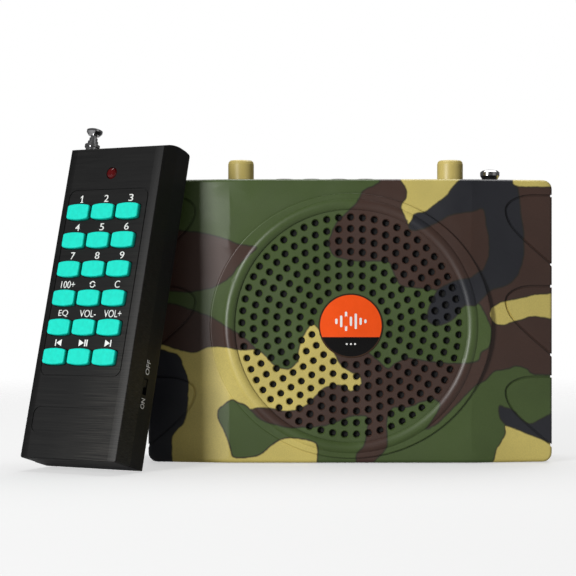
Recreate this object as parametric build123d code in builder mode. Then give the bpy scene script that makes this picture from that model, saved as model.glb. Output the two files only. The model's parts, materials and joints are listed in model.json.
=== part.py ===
from build123d import *
import math
import os

# Electronic game caller: a camouflaged loudspeaker box, and the handheld remote that leans
# against its front left corner. Millimetres, +Z up, the front faces -Y, and the origin is
# the middle of the box's base.

os.makedirs("parts", exist_ok=True)

# ---- Driving dimensions: the box ------------------------------------------------------
CASE_W = 147.4          # width over the sides
CASE_H = 102.8          # height over base and top
FACE_Y = -21.5          # flat middle panel of the front
WING_Y = -16.5          # where each wing meets the side
BACK_Y = 22.5           # back face
CREASE_X = 44.0         # vertical crease between the middle panel and a wing
WALL = 2.2
CORNER_R = 3.4          # corners of the front view
RIM_R = 1.4             # edge all round the front
BACK_R = 3.0            # edge all round the back
TONGUE_T = 1.0          # tongue that joins the two shells
TONGUE_D = 1.5
SLACK = 0.1             # gap on each side of a loose fit

# ---- Loudspeaker and grille -----------------------------------------------------------
SPK_Z = 49.7            # height of the speaker's axis
PLATEAU_RX = 51.0       # raised oval around the grille
PLATEAU_RZ = 48.0
PLATEAU_Y = FACE_Y - 1.0
BEAD_R = 44.1           # raised ring around the grille
BEAD_HALF = 2.0
BEAD_H = 0.8
GRILLE_R = 42.0
GRILLE_Y = -22.0        # front face of the perforated disc
GRILLE_T = 1.6
HOLE_R = 1.22
RING_FIRST_R = 14.3     # innermost ring of holes
RING_STEP = 4.17
RING_FIRST_N = 21
RING_ADD_N = 6
RING_COUNT = 7
BADGE_R = 11.6
BADGE_RECESS = 0.4
BADGE_DOME = 1.2
EAR_R = 50.0            # circle of the four speaker screws
FLANGE_Y = -16.8        # front face of the basket's flange
FLANGE_T = 1.2

# ---- Top panel and what it carries ----------------------------------------------------
PANEL_L = 122.0
PANEL_D = 31.0
PANEL_T = 1.2
PANEL_Y = 2.0
BOARD_Z = 86.0          # upper face of the main board
BOARD_T = 1.6
PANEL_UNDER = CASE_H - PANEL_T
KNOB_PLACES = {"volume_knob": (-40.3, 0.0), "echo_knob": (38.0, 0.0)}
KNOB_R = 4.8
KNOB_TOP = 111.2
SHAFT_R = 2.0
BUTTON_XS = {"button_mode": -24.0, "button_previous": -14.0, "button_play": -4.0, "button_next": 6.0}
BUTTON_Y = -6.0
BUTTON_R = 3.9
BUTTON_TOP = CASE_H + 1.0
DISPLAY = (-9.0, 7.0)
DISPLAY_SIZE = (30.0, 11.0)
USB = (22.0, 8.0)
CARD = (22.0, -4.0)
JACK_X = -53.0
JACK_YS = (-6.5, 2.3)   # the two 3.5 mm sockets
DC_Y = 11.0
JACK_BORE_R = 1.8
JACK_DEPTH = 12.0

# ---- Telescopic antenna of the box ----------------------------------------------------
ANT_X = 53.9
ANT_Y = 8.0
ANT_FOOT = 14.0
ANT_RADII = (3.2, 2.6, 2.0, 1.4)     # base tube, two tubes and the rod
ANT_FIT = 0.08
ANT_CAP_R = 3.65
ANT_CAP_TOP = 108.4

# ---- Battery compartment and case screws ----------------------------------------------
BATTERY = (53.0, 5.4, 34.0)
BATTERY_Z = 40.0
POCKET_FLOOR_Y = 14.8
DOOR = (58.0, 1.8, 44.0)
SCREW_X = 64.0
SCREW_ZS = (9.0, 93.0)

# ---- Remote, drawn upright in its own frame -------------------------------------------
R_W = 40.0
R_T = 18.6
R_L = 113.0
R_SPLIT = 9.3           # parting plane between its shells
R_WALL = 1.6
R_FLAT = 16.8           # half width of the flat part of the front
R_DROP = 0.5            # how far the front falls to the side edges
R_CROWN = 3.0           # how far its top end bows up
R_LEAN = 15.6           # degrees from upright
R_TURN = 28.6           # degrees, front turned to the left
R_FOOT_R = 2.5          # edge that it stands on
R_HEAD_R = 3.0          # edge across the top of its back
R_CORNER = (-72.3, -49.3)            # rear right corner of its foot, on the ground
KEY_W = 9.2
KEY_H = 5.9
KEY_BULGE = 0.55        # how far the long edges of a key bow out
KEY_PITCH_X = 10.5
KEY_PITCH_Z = 10.6
KEY_MID_X = -0.9        # middle column of keys
KEY_TOP_Z = 88.9
KEY_RAISE = 1.8
KEY_GAP = 0.25
KEY_NAMES = (
    "key_1", "key_2", "key_3",
    "key_4", "key_5", "key_6",
    "key_7", "key_8", "key_9",
    "key_100_plus", "key_repeat", "key_clear",
    "key_eq", "key_volume_down", "key_volume_up",
    "key_previous", "key_play_pause", "key_next",
)
R_BOARD_Y = 9.0
R_BOARD_T = 1.2
LED_X = -0.5
LED_Z = 103.6
LED_R = 2.1
SWITCH_Y = 11.2
SWITCH_Z = 29.8
SWITCH_TRAVEL = 2.5
R_ANT = (-15.8, 6.5)
R_ANT_FOOT = 38.0
R_ANT_RADII = (2.3, 1.9, 1.5, 1.1)
R_ANT_STEPS = (117.2, 118.6, 119.9, 121.0)
R_ANT_CAP_TOP = 123.4
CELL_R = 5.15
CELL_L = 28.5
CELL = (9.3, 16.0)      # y and z of the cell's axis
R_DOOR_Z = (5.5, 26.5)
R_DOOR_W = 30.0
R_SCREWS = ((-8.5, 107.2), (12.5, 107.2), (-10.5, 29.0), (9.0, 29.0))


# ---- Planes and small helpers ---------------------------------------------------------
def facing(y, x=0.0, z=0.0):
    """A plane that faces the front, with its local x along +X and its local y up."""
    return Plane(origin=(x, y, z), x_dir=(1, 0, 0), z_dir=(0, -1, 0))


def upright(x, y):
    """The axis and the section plane of a piece turned about a vertical line."""
    return Axis((x, y, 0), (0, 0, 1)), facing(y, x)


AT_REST = Location((0, 0, 0))
SPK_AXIS = Axis((0, 0, SPK_Z), (0, 1, 0))
SPK_SECTION = Plane.XY.offset(SPK_Z)


def turned(points, axis, section):
    """A turned piece, from its closed outline of (radius, distance along the axis) points."""
    with BuildPart() as piece:
        with BuildSketch(section):
            with BuildLine():
                Polyline(*points, close=True)
            make_face()
        revolve(axis=axis)
    return piece


def dome(radius, edge, apex):
    """An arc over the axis, square to it, from its rim at height edge to its apex."""
    rise = edge - apex
    ball = (radius ** 2 + rise ** 2) / (2 * rise)
    halfway = ball - math.copysign(math.sqrt(ball ** 2 - radius ** 2 / 4), ball)
    return ThreePointArc((radius, edge), (radius / 2, apex + halfway), (0, apex))


def save(builder, name, place=AT_REST):
    """Name a finished piece, put it in its place and write it."""
    builder.part.label = name
    builder.part.locate(place * builder.part.location)
    export_step(builder.part, f"parts/{name}.step")


# ---- Case of the box ------------------------------------------------------------------
def front_block(inset, rim=0.0):
    """The front half of the case as a solid, with its outer faces moved in by inset."""
    side = CASE_W / 2 - inset
    wing = WING_Y + inset
    face = FACE_Y + inset
    with BuildPart() as block:
        with BuildSketch(Plane.XY.offset(inset)):
            with BuildLine():
                Polyline((-side, 0), (-side, wing), (-CREASE_X, face),
                         (CREASE_X, face), (side, wing), (side, 0), close=True)
            make_face()
        extrude(amount=CASE_H - 2 * inset)
        fillet(block.edges().filter_by(Axis.Y), max(CORNER_R - inset, 1.0))
        if rim:
            front = block.edges().filter_by_position(Axis.Y, FACE_Y - 1, WING_Y + 1)
            outer = front.filter_by(lambda edge: abs(abs(edge.center().X) - CREASE_X) > 0.5)
            fillet(outer, rim)
    return block


def back_block(inset, depth, rim=0.0):
    """The back half of the case as a solid, from the parting plane to depth."""
    with BuildPart() as block:
        with BuildSketch(facing(0, z=CASE_H / 2)):
            RectangleRounded(CASE_W - 2 * inset, CASE_H - 2 * inset, max(CORNER_R - inset, 1.0))
        extrude(amount=-depth)
        if rim:
            fillet(block.faces().sort_by(Axis.Y)[-1].edges(), rim)
    return block


def leaf_grooves():
    """Cutter for the three engraved leaf edges on each wing, of even depth on the slope."""
    pitch = 33.0
    width = 0.9
    depth = 0.7
    leaf = ((75.0, 97.2), (65.3, 97.0), (60.0, 95.8), (56.6, 92.8), (57.0, 88.6),
            (62.4, 81.6), (68.0, 76.6), (75.0, 70.6))
    with BuildPart() as cutter:
        for side in (1, -1):
            for step in range(3):
                with BuildSketch(facing(-12.0)):
                    with BuildLine():
                        Spline(*[(side * x, z - step * pitch) for x, z in leaf])
                    trace(line_width=width)
                extrude(amount=12.0)
        add(front_block(depth).part, mode=Mode.SUBTRACT)
    return cutter


def panel_recess():
    """Cutter for the top panel's recess and the window under it, across both shells."""
    with BuildPart() as cutter:
        with BuildSketch(Plane.XY.offset(PANEL_UNDER)):
            with Locations((0, PANEL_Y)):
                RectangleRounded(PANEL_L + 2 * SLACK, PANEL_D + 2 * SLACK, 3.0)
        extrude(amount=2 * PANEL_T)
        with BuildSketch(Plane.XY.offset(CASE_H)):
            with Locations((0, PANEL_Y)):
                RectangleRounded(PANEL_L - 6, PANEL_D - 4, 2.0)
        extrude(amount=-2 * WALL)
    return cutter


def screw_places():
    """The four case screws, as places on a plane that faces the front."""
    return [(side * SCREW_X, z) for side in (-1, 1) for z in SCREW_ZS]


with BuildPart() as front_shell:
    add(front_block(0.0, RIM_R).part)
    with BuildSketch(facing(FACE_Y + 1, z=SPK_Z)):
        Ellipse(PLATEAU_RX, PLATEAU_RZ)
    extrude(amount=FACE_Y + 1 - PLATEAU_Y)
    fillet(front_shell.faces().sort_by(Axis.Y)[0].outer_wire().edges(), 0.6)
    add(front_block(WALL).part, mode=Mode.SUBTRACT)
    with BuildSketch(SPK_SECTION):
        with BuildLine():
            ThreePointArc((BEAD_R - BEAD_HALF, PLATEAU_Y), (BEAD_R, PLATEAU_Y - BEAD_H),
                          (BEAD_R + BEAD_HALF, PLATEAU_Y))
            Polyline((BEAD_R + BEAD_HALF, PLATEAU_Y), (BEAD_R + BEAD_HALF, PLATEAU_Y + 1),
                     (BEAD_R - BEAD_HALF, PLATEAU_Y + 1), (BEAD_R - BEAD_HALF, PLATEAU_Y))
        make_face()
    revolve(axis=SPK_AXIS)
    # Seat of the grille, and the opening behind it
    with BuildSketch(facing(GRILLE_Y + GRILLE_T, z=SPK_Z)):
        Circle(GRILLE_R + SLACK)
    extrude(amount=10, mode=Mode.SUBTRACT)
    with BuildSketch(facing(FACE_Y + WALL + 1, z=SPK_Z)):
        Circle(GRILLE_R - 1.7)
    extrude(amount=10, mode=Mode.SUBTRACT)
    # Posts for the speaker and for the case screws
    with BuildSketch(facing(FLANGE_Y, z=SPK_Z)):
        with PolarLocations(EAR_R, 4, start_angle=45):
            Circle(3.3)
    extrude(amount=3.0)
    with BuildSketch(facing(FLANGE_Y, z=SPK_Z)):
        with PolarLocations(EAR_R, 4, start_angle=45):
            Circle(1.15)
    extrude(amount=3.8, mode=Mode.SUBTRACT)
    with BuildSketch(facing(-SLACK)):
        with Locations(*screw_places()):
            Circle(3.4)
    extrude(amount=17.0)
    with BuildSketch(facing(-SLACK)):
        with Locations(*screw_places()):
            Circle(1.3)
    extrude(amount=13.0, mode=Mode.SUBTRACT)
    # Rebate for the rear shell's tongue
    with BuildSketch(facing(0, z=CASE_H / 2)):
        RectangleRounded(CASE_W - 2 * WALL + 2 * (TONGUE_T + SLACK),
                         CASE_H - 2 * WALL + 2 * (TONGUE_T + SLACK), CORNER_R - 1.0)
        RectangleRounded(CASE_W - 2 * WALL - 0.2, CASE_H - 2 * WALL - 0.2, 1.0, mode=Mode.SUBTRACT)
    extrude(amount=TONGUE_D + SLACK, mode=Mode.SUBTRACT)
    add(panel_recess().part, mode=Mode.SUBTRACT)
    add(leaf_grooves().part, mode=Mode.SUBTRACT)
save(front_shell, "front_shell")

with BuildPart() as rear_shell:
    add(back_block(0.0, BACK_Y, BACK_R).part)
    add(back_block(WALL, BACK_Y - WALL).part, mode=Mode.SUBTRACT)
    with BuildSketch(facing(1.0, z=CASE_H / 2)):
        RectangleRounded(CASE_W - 2 * (WALL - TONGUE_T), CASE_H - 2 * (WALL - TONGUE_T), CORNER_R - 1.2)
        RectangleRounded(CASE_W - 2 * WALL, CASE_H - 2 * WALL, 1.2, mode=Mode.SUBTRACT)
    extrude(amount=TONGUE_D + 1.0)
    # Battery pocket, with a thick ledge for its door
    pocket = facing(BACK_Y, z=BATTERY_Z)
    with BuildSketch(pocket):
        RectangleRounded(DOOR[0] + 5, DOOR[2] + 5, 3.0)
    extrude(amount=4.1)
    with BuildSketch(pocket):
        Rectangle(BATTERY[0] + 4.2, BATTERY[2] + 4.2)
    extrude(amount=BACK_Y - POCKET_FLOOR_Y + 1.4)
    with BuildSketch(pocket):
        RectangleRounded(DOOR[0] + 4 * SLACK, DOOR[2] + 4 * SLACK, 2.2)
    extrude(amount=DOOR[1] + SLACK, mode=Mode.SUBTRACT)
    with BuildSketch(pocket):
        Rectangle(BATTERY[0] + 1.2, BATTERY[2] + 1.2)
    extrude(amount=BACK_Y - POCKET_FLOOR_Y, mode=Mode.SUBTRACT)
    # Posts of the case screws, with sunk heads
    with BuildSketch(facing(SLACK)):
        with Locations(*screw_places()):
            Circle(4.2)
    extrude(amount=SLACK - BACK_Y + 1.0)
    with BuildSketch(facing(0)):
        with Locations(*screw_places()):
            Circle(1.5)
    extrude(amount=-BACK_Y, mode=Mode.SUBTRACT)
    with BuildSketch(facing(6.0)):
        with Locations(*screw_places()):
            Circle(3.0)
    extrude(amount=-BACK_Y, mode=Mode.SUBTRACT)
    # Ledges that the main board rests on
    with BuildSketch(Plane.XY.offset(BOARD_Z - BOARD_T)):
        with Locations((-45, 18), (-15, 18), (15, 18), (40, 18)):
            Rectangle(5, 6)
    extrude(amount=-3.0)
    add(panel_recess().part, mode=Mode.SUBTRACT)
save(rear_shell, "rear_shell")

# ---- Grille, cloth and badge ----------------------------------------------------------
with BuildPart() as speaker_grille:
    with BuildSketch(facing(GRILLE_Y + GRILLE_T, z=SPK_Z)):
        Circle(GRILLE_R)
        for ring in range(RING_COUNT):
            ring_r = RING_FIRST_R + RING_STEP * ring
            with PolarLocations(ring_r, RING_FIRST_N + RING_ADD_N * ring, start_angle=90):
                Circle(HOLE_R, mode=Mode.SUBTRACT)
    extrude(amount=GRILLE_T)
    with BuildSketch(facing(GRILLE_Y, z=SPK_Z)):
        Circle(BADGE_R + SLACK)
    extrude(amount=-BADGE_RECESS, mode=Mode.SUBTRACT)
save(speaker_grille, "speaker_grille")

with BuildPart() as dust_cloth:
    with BuildSketch(facing(GRILLE_Y + GRILLE_T + 0.4, z=SPK_Z)):
        Circle(GRILLE_R - 2.0)
    extrude(amount=0.35)
save(dust_cloth, "dust_cloth")

with BuildPart() as badge:
    with BuildSketch(SPK_SECTION):
        with BuildLine():
            Polyline((0, GRILLE_Y - BADGE_DOME), (0, GRILLE_Y + BADGE_RECESS),
                     (BADGE_R, GRILLE_Y + BADGE_RECESS), (BADGE_R, GRILLE_Y - 0.3))
            dome(BADGE_R, GRILLE_Y - 0.3, GRILLE_Y - BADGE_DOME)
        make_face()
    revolve(axis=SPK_AXIS)
save(badge, "badge")

# ---- Loudspeaker ----------------------------------------------------------------------
with BuildPart() as speaker_basket:
    with BuildSketch(SPK_SECTION):
        with BuildLine():
            Polyline((38.0, FLANGE_Y), (46.0, FLANGE_Y), (46.0, FLANGE_Y + FLANGE_T),
                     (39.3, FLANGE_Y + FLANGE_T), (25.0, 0.2), (13.6, 0.2), (13.6, -1.0),
                     (24.2, -1.0), (38.0, -16.0), close=True)
        make_face()
    revolve(axis=SPK_AXIS)
    with BuildSketch(facing(FLANGE_Y + FLANGE_T, z=SPK_Z)):
        with PolarLocations(EAR_R - 3, 4, start_angle=45):
            Rectangle(6, 7.6)
        with PolarLocations(EAR_R, 4, start_angle=45):
            Circle(3.8)
        with PolarLocations(EAR_R, 4, start_angle=45):
            Circle(1.4, mode=Mode.SUBTRACT)
    extrude(amount=FLANGE_T)
    with BuildSketch(facing(-1.6, z=SPK_Z)):
        with PolarLocations(31.5, 6):
            Rectangle(9, 17)
    extrude(amount=13.0, mode=Mode.SUBTRACT)
save(speaker_basket, "speaker_basket")

speaker_magnet = turned(
    [(3, -0.4), (10.9, -0.4), (10.9, 7.6), (13.1, 7.6), (13.1, 0.2), (20.5, 0.2), (20.5, 2.8),
     (22.5, 2.8), (22.5, 7.8), (20.5, 7.8), (20.5, 10.6), (3, 10.6)], SPK_AXIS, SPK_SECTION)
save(speaker_magnet, "speaker_magnet")

with BuildPart() as speaker_surround:
    with BuildSketch(SPK_SECTION):
        with BuildLine():
            Line((44.0, -17.4), (41.4, -17.4))
            ThreePointArc((41.4, -17.4), (38.2, -19.3), (35.0, -17.4))
            Polyline((35.0, -17.4), (34.5, -17.4), (34.5, -16.9), (35.3, -16.9))
            ThreePointArc((35.3, -16.9), (38.2, -18.7), (41.1, -16.9))
            Polyline((41.1, -16.9), (44.0, -16.9), (44.0, -17.4))
        make_face()
    revolve(axis=SPK_AXIS)
save(speaker_surround, "speaker_surround")

with BuildPart() as speaker_cone:
    with BuildSketch(SPK_SECTION):
        with BuildLine():
            dome(13.4, -9.6, -12.6)
            Polyline((13.4, -9.6), (34.2, -17.6), (34.2, -16.8), (12.6, -8.4), (12.6, 4.0),
                     (11.4, 4.0), (11.4, -9.2))
            dome(11.4, -9.2, -11.8)
            Line((0, -11.8), (0, -12.6))
        make_face()
    revolve(axis=SPK_AXIS)
save(speaker_cone, "speaker_cone")

with BuildPart() as speaker_screws:
    with BuildSketch(facing(FLANGE_Y + FLANGE_T, z=SPK_Z)):
        with PolarLocations(EAR_R, 4, start_angle=45):
            Circle(1.1)
    extrude(amount=4.6)
    with BuildSketch(facing(FLANGE_Y + FLANGE_T, z=SPK_Z)):
        with PolarLocations(EAR_R, 4, start_angle=45):
            Circle(2.3)
    extrude(amount=-1.5)
save(speaker_screws, "speaker_screws")

# ---- Top panel, its window, knobs, buttons and sockets --------------------------------
with BuildPart() as top_panel:
    with BuildSketch(Plane.XY.offset(PANEL_UNDER)):
        with Locations((0, PANEL_Y)):
            RectangleRounded(PANEL_L, PANEL_D, 2.9)
        with Locations(*KNOB_PLACES.values()):
            Circle(SHAFT_R + 0.4, mode=Mode.SUBTRACT)
        with Locations(*[(x, BUTTON_Y) for x in BUTTON_XS.values()]):
            Circle(BUTTON_R + 0.3, mode=Mode.SUBTRACT)
        with Locations(DISPLAY):
            Rectangle(DISPLAY_SIZE[0] + 0.2, DISPLAY_SIZE[1] + 0.2, mode=Mode.SUBTRACT)
        with Locations(USB):
            Rectangle(13.6, 6.2, mode=Mode.SUBTRACT)
        with Locations(CARD):
            Rectangle(12.0, 2.0, mode=Mode.SUBTRACT)
        with Locations(*[(JACK_X, y) for y in JACK_YS]):
            Circle(3.1, mode=Mode.SUBTRACT)
        with Locations((JACK_X, DC_Y)):
            Circle(3.9, mode=Mode.SUBTRACT)
        with Locations((ANT_X, ANT_Y)):
            Circle(ANT_RADII[0] + 0.2, mode=Mode.SUBTRACT)
    extrude(amount=PANEL_T)
save(top_panel, "top_panel")

with BuildPart() as display_window:
    with BuildSketch(Plane.XY.offset(PANEL_UNDER - 0.2)):
        with Locations(DISPLAY):
            Rectangle(*DISPLAY_SIZE)
    extrude(amount=PANEL_T + 0.2)
save(display_window, "display_window")

for knob_name, (knob_x, knob_y) in KNOB_PLACES.items():
    foot = CASE_H + 0.4
    knob = turned(
        [(0, 89.5), (SHAFT_R, 89.5), (SHAFT_R, foot), (KNOB_R, foot), (KNOB_R, KNOB_TOP - 1.4),
         (KNOB_R - 0.25, KNOB_TOP - 0.5), (KNOB_R - 0.8, KNOB_TOP), (0, KNOB_TOP)],
        *upright(knob_x, knob_y))
    save(knob, knob_name)

with BuildPart() as pot_bodies:
    with BuildSketch(Plane.XY.offset(BOARD_Z)):
        with Locations(*KNOB_PLACES.values()):
            Rectangle(10, 10)
    extrude(amount=5.0)
    with BuildSketch(Plane.XY.offset(BOARD_Z)):
        with Locations(*KNOB_PLACES.values()):
            Circle(3.4)
    extrude(amount=PANEL_UNDER - BOARD_Z - 0.2)
    with BuildSketch(Plane.XY.offset(BOARD_Z + 3.0)):
        with Locations(*KNOB_PLACES.values()):
            Circle(SHAFT_R + 0.08)
    extrude(amount=20.0, mode=Mode.SUBTRACT)
save(pot_bodies, "pot_bodies")

for button_name, button_x in BUTTON_XS.items():
    button = turned(
        [(0, 91.6), (1.5, 91.6), (1.5, 99.4), (4.9, 99.4), (4.9, 100.4), (BUTTON_R, 100.4),
         (BUTTON_R, BUTTON_TOP - 0.6), (BUTTON_R - 0.6, BUTTON_TOP), (0, BUTTON_TOP)],
        *upright(button_x, BUTTON_Y))
    save(button, button_name)

with BuildPart() as media_sockets:
    with BuildSketch(Plane.XY.offset(BOARD_Z)):
        with Locations(USB):
            RectangleRounded(13.2, 5.8, 0.5)
    extrude(amount=CASE_H - 0.4 - BOARD_Z)
    with BuildSketch(Plane.XY.offset(BOARD_Z + 2.0)):
        with Locations(USB):
            Rectangle(12.2, 4.9)
        with Locations((USB[0], USB[1] + 1.1)):
            Rectangle(11.0, 1.8, mode=Mode.SUBTRACT)
    extrude(amount=20.0, mode=Mode.SUBTRACT)
    with BuildSketch(Plane.XY.offset(CASE_H - 1.6)):
        with Locations(USB):
            Rectangle(12.2, 4.9)
    extrude(amount=3.0, mode=Mode.SUBTRACT)
    with BuildSketch(Plane.XY.offset(BOARD_Z)):
        with Locations(CARD):
            Rectangle(14.4, 3.6)
    extrude(amount=PANEL_UNDER - BOARD_Z - 0.1)
    with BuildSketch(Plane.XY.offset(BOARD_Z + 2.0)):
        with Locations(CARD):
            Rectangle(11.4, 1.5)
    extrude(amount=20.0, mode=Mode.SUBTRACT)
save(media_sockets, "media_sockets")

with BuildPart() as jack_sockets:
    jack_places = [(JACK_X, y) for y in JACK_YS]
    with BuildSketch(Plane.XY.offset(BOARD_Z)):
        with Locations(*jack_places, (JACK_X, DC_Y)):
            Rectangle(8, 8)
    extrude(amount=PANEL_UNDER - BOARD_Z - 0.1)
    with BuildSketch(Plane.XY.offset(BOARD_Z + 2)):
        with Locations(*jack_places):
            Circle(3.0)
        with Locations((JACK_X, DC_Y)):
            Circle(3.8)
    extrude(amount=CASE_H - BOARD_Z - 2)
    with BuildSketch(Plane.XY.offset(CASE_H)):
        with Locations(*jack_places):
            Circle(JACK_BORE_R)
    extrude(amount=-JACK_DEPTH, mode=Mode.SUBTRACT)
    with BuildSketch(Plane.XY.offset(CASE_H)):
        with Locations((JACK_X, DC_Y)):
            Circle(2.8)
            Circle(1.0, mode=Mode.SUBTRACT)
    extrude(amount=-9.0, mode=Mode.SUBTRACT)
save(jack_sockets, "jack_sockets")

# ---- Main board: the board, and the chips, switches and contacts on it -----------------
with BuildPart() as main_board:
    with BuildSketch(Plane.XY.offset(BOARD_Z - BOARD_T)):
        with Locations((-6, 3.5)):
            Rectangle(108, 27)
    extrude(amount=BOARD_T)
    with BuildSketch(Plane.XY.offset(BOARD_Z)):
        with Locations(*[(x, BUTTON_Y) for x in BUTTON_XS.values()]):
            Rectangle(6, 6)
    extrude(amount=3.5)
    with BuildSketch(Plane.XY.offset(BOARD_Z)):
        with Locations(*[(x, BUTTON_Y) for x in BUTTON_XS.values()]):
            Circle(1.7)
    extrude(amount=4.6)
    with BuildSketch(Plane.XY.offset(BOARD_Z)):
        with Locations(DISPLAY):
            Rectangle(32, 13)
    extrude(amount=PANEL_UNDER - BOARD_Z - 0.4)
    with BuildSketch(Plane.XY.offset(BOARD_Z - BOARD_T)):
        with Locations((-40, 4), (-5, 4), (28, 4)):
            Rectangle(10, 10)
    extrude(amount=-1.6)
    with BuildSketch(Plane.XY.offset(BOARD_Z - BOARD_T)):
        with Locations((-54, 8), (-50, -4), (42, 8)):
            Circle(3.2)
    extrude(amount=-9.0)
    # Three spring contacts at the head of the battery pocket
    with BuildSketch(Plane.XY.offset(BATTERY_Z + BATTERY[2] / 2 + 0.1)):
        with Locations((-8, 17.6), (0, 17.6), (8, 17.6)):
            Rectangle(3, 4)
    extrude(amount=0.4)
save(main_board, "main_board")

# ---- Battery, its door, and the case screws -------------------------------------------
with BuildPart() as battery_pack:
    with BuildSketch(facing(20.4, z=BATTERY_Z)):
        RectangleRounded(BATTERY[0], BATTERY[2], 2.0)
    extrude(amount=BATTERY[1])
    fillet(battery_pack.edges().group_by(Axis.Y)[-1], 0.8)
save(battery_pack, "battery_pack")

with BuildPart() as battery_door:
    with BuildSketch(facing(BACK_Y, z=BATTERY_Z)):
        RectangleRounded(DOOR[0], DOOR[2], 2.0)
    extrude(amount=DOOR[1])
    # Finger scoop over the latch
    with BuildSketch(facing(BACK_Y, z=BATTERY_Z + DOOR[2] / 2 - 6)):
        SlotOverall(16, 6)
    extrude(amount=0.9, mode=Mode.SUBTRACT)
save(battery_door, "battery_door")

with BuildPart() as case_screws:
    with BuildSketch(facing(6.0)):
        with Locations(*screw_places()):
            Circle(1.2)
    extrude(amount=17.0)
    with BuildSketch(facing(6.0)):
        with Locations(*screw_places()):
            Circle(2.8)
    extrude(amount=-2.2)
    with BuildSketch(facing(8.2)):
        with Locations(*screw_places()):
            Rectangle(3.4, 0.8)
            Rectangle(0.8, 3.4)
    extrude(amount=1.2, mode=Mode.SUBTRACT)
save(case_screws, "case_screws")


# ---- Telescopic antennas --------------------------------------------------------------
def telescope(prefix, centre, radii, foot, tops, cap, collar, place=AT_REST):
    """A base tube and three sections, each of which slides in the one before it."""
    line = upright(*centre)
    bores = [radius + ANT_FIT for radius in radii[1:]]
    cap_r, cap_top = cap
    collar_r, collar_h = collar
    under = tops[0] - collar_h
    base = turned([(bores[0], foot), (radii[0], foot), (radii[0], under), (collar_r, under),
                   (collar_r, tops[0]), (bores[0], tops[0])], *line)
    save(base, f"{prefix}_base", place)
    for number in (1, 2):
        low = foot + 2.0 * number
        tube = turned([(bores[number], low), (radii[number], low), (radii[number], tops[number]),
                       (bores[number], tops[number])], *line)
        save(tube, f"{prefix}_section_{number}", place)
    waist = cap_top - 0.55 * (cap_top - tops[3])
    crown = cap_top - 0.22 * (cap_top - tops[3])
    rod = turned([(0, foot + 6), (radii[3], foot + 6), (radii[3], tops[3]), (0.72 * cap_r, tops[3]),
                  (cap_r, waist), (cap_r, crown), (0.78 * cap_r, cap_top - 0.25),
                  (0.45 * cap_r, cap_top), (0, cap_top)], *line)
    save(rod, f"{prefix}_section_3", place)


telescope("antenna", (ANT_X, ANT_Y), ANT_RADII, ANT_FOOT,
          (CASE_H + 0.6, CASE_H + 0.9, CASE_H + 1.2, CASE_H + 1.5),
          (ANT_CAP_R, ANT_CAP_TOP), (4.2, 0.6))


# ---- Remote: its place ----------------------------------------------------------------
def remote_place():
    """Where the upright remote goes: turned left, leaned back, standing on its rear edge."""
    turn = math.radians(R_TURN)
    lean = math.radians(R_LEAN)
    across = Vector(math.cos(turn), -math.sin(turn), 0)
    inward = Vector(math.sin(turn), math.cos(turn), 0)
    up = inward * math.sin(lean) + Vector(0, 0, 1) * math.cos(lean)
    back = inward * math.cos(lean) - Vector(0, 0, 1) * math.sin(lean)
    corner = Vector(*R_CORNER, 0)
    origin = corner - across * (R_W / 2) - back * R_T
    rise = R_FOOT_R * (1 - math.cos(lean) - math.sin(lean))
    origin = origin + Vector(0, 0, rise)
    return Plane(origin=origin, x_dir=across, z_dir=up).location


REMOTE = remote_place()


def remote_outline(inset, depth):
    """Plan of the remote from its front face back to depth, moved in by inset."""
    side = R_W / 2 - inset
    drop = R_DROP + inset
    bow = R_DROP * 0.3 + inset
    flat = min(R_FLAT, side - 1.0)
    with BuildLine() as outline:
        Polyline((side, drop), (side, depth), (-side, depth), (-side, drop))
        ThreePointArc((-side, drop), (-(flat + side) / 2, bow), (-flat, inset))
        Line((-flat, inset), (flat, inset))
        ThreePointArc((flat, inset), ((flat + side) / 2, bow), (side, drop))
    return outline.line


def remote_side():
    """Side view of the remote: its top end bows up, and its back is rounded at both ends."""
    with BuildLine() as edge:
        Line((0, 0), (0, R_L))
        ThreePointArc((0, R_L), (R_T * 0.56, R_L + R_CROWN), (R_T, R_L + R_CROWN * 0.75))
        Polyline((R_T, R_L + R_CROWN * 0.75), (R_T, 0), (0, 0))
    with BuildSketch() as side:
        add(edge.line)
        make_face()
        back = side.vertices().group_by(Axis.X)[-1].sort_by(Axis.Y)
        fillet(back[-1], R_HEAD_R)
        fillet(side.vertices().group_by(Axis.X)[-1].sort_by(Axis.Y)[0], R_FOOT_R)
    return side.sketch


def within_side():
    """A block of the remote's side view, wider than the remote, that trims its ends to shape."""
    with BuildPart() as block:
        with BuildSketch(Plane.YZ):
            add(remote_side())
        extrude(amount=R_W, both=True)
    return block.part


def key_places():
    """Place of each key on the front, row by row from the top left, by name."""
    places = [(KEY_MID_X + (column - 1) * KEY_PITCH_X, KEY_TOP_Z - row * KEY_PITCH_Z)
              for row in range(6) for column in range(3)]
    return dict(zip(KEY_NAMES, places))


def key_shape(width, height, bulge):
    """A key's face: straight ends, and long edges that bow outwards."""
    half_w = width / 2
    half_h = height / 2 - bulge
    with BuildLine() as edge:
        ThreePointArc((-half_w, half_h), (0, height / 2), (half_w, half_h))
        Line((half_w, half_h), (half_w, -half_h))
        ThreePointArc((half_w, -half_h), (0, -height / 2), (-half_w, -half_h))
        Line((-half_w, -half_h), (-half_w, half_h))
    with BuildSketch() as shape:
        add(edge.line)
        make_face()
        fillet(shape.vertices(), 0.9)
    return shape.sketch


def remote_posts(near, far, radius):
    """Round posts, or the cutter for round holes, at the remote's screws, between two depths."""
    with BuildPart() as posts:
        with BuildSketch(facing(near)):
            with Locations(*R_SCREWS):
                Circle(radius)
        extrude(amount=near - far)
    return posts


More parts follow.
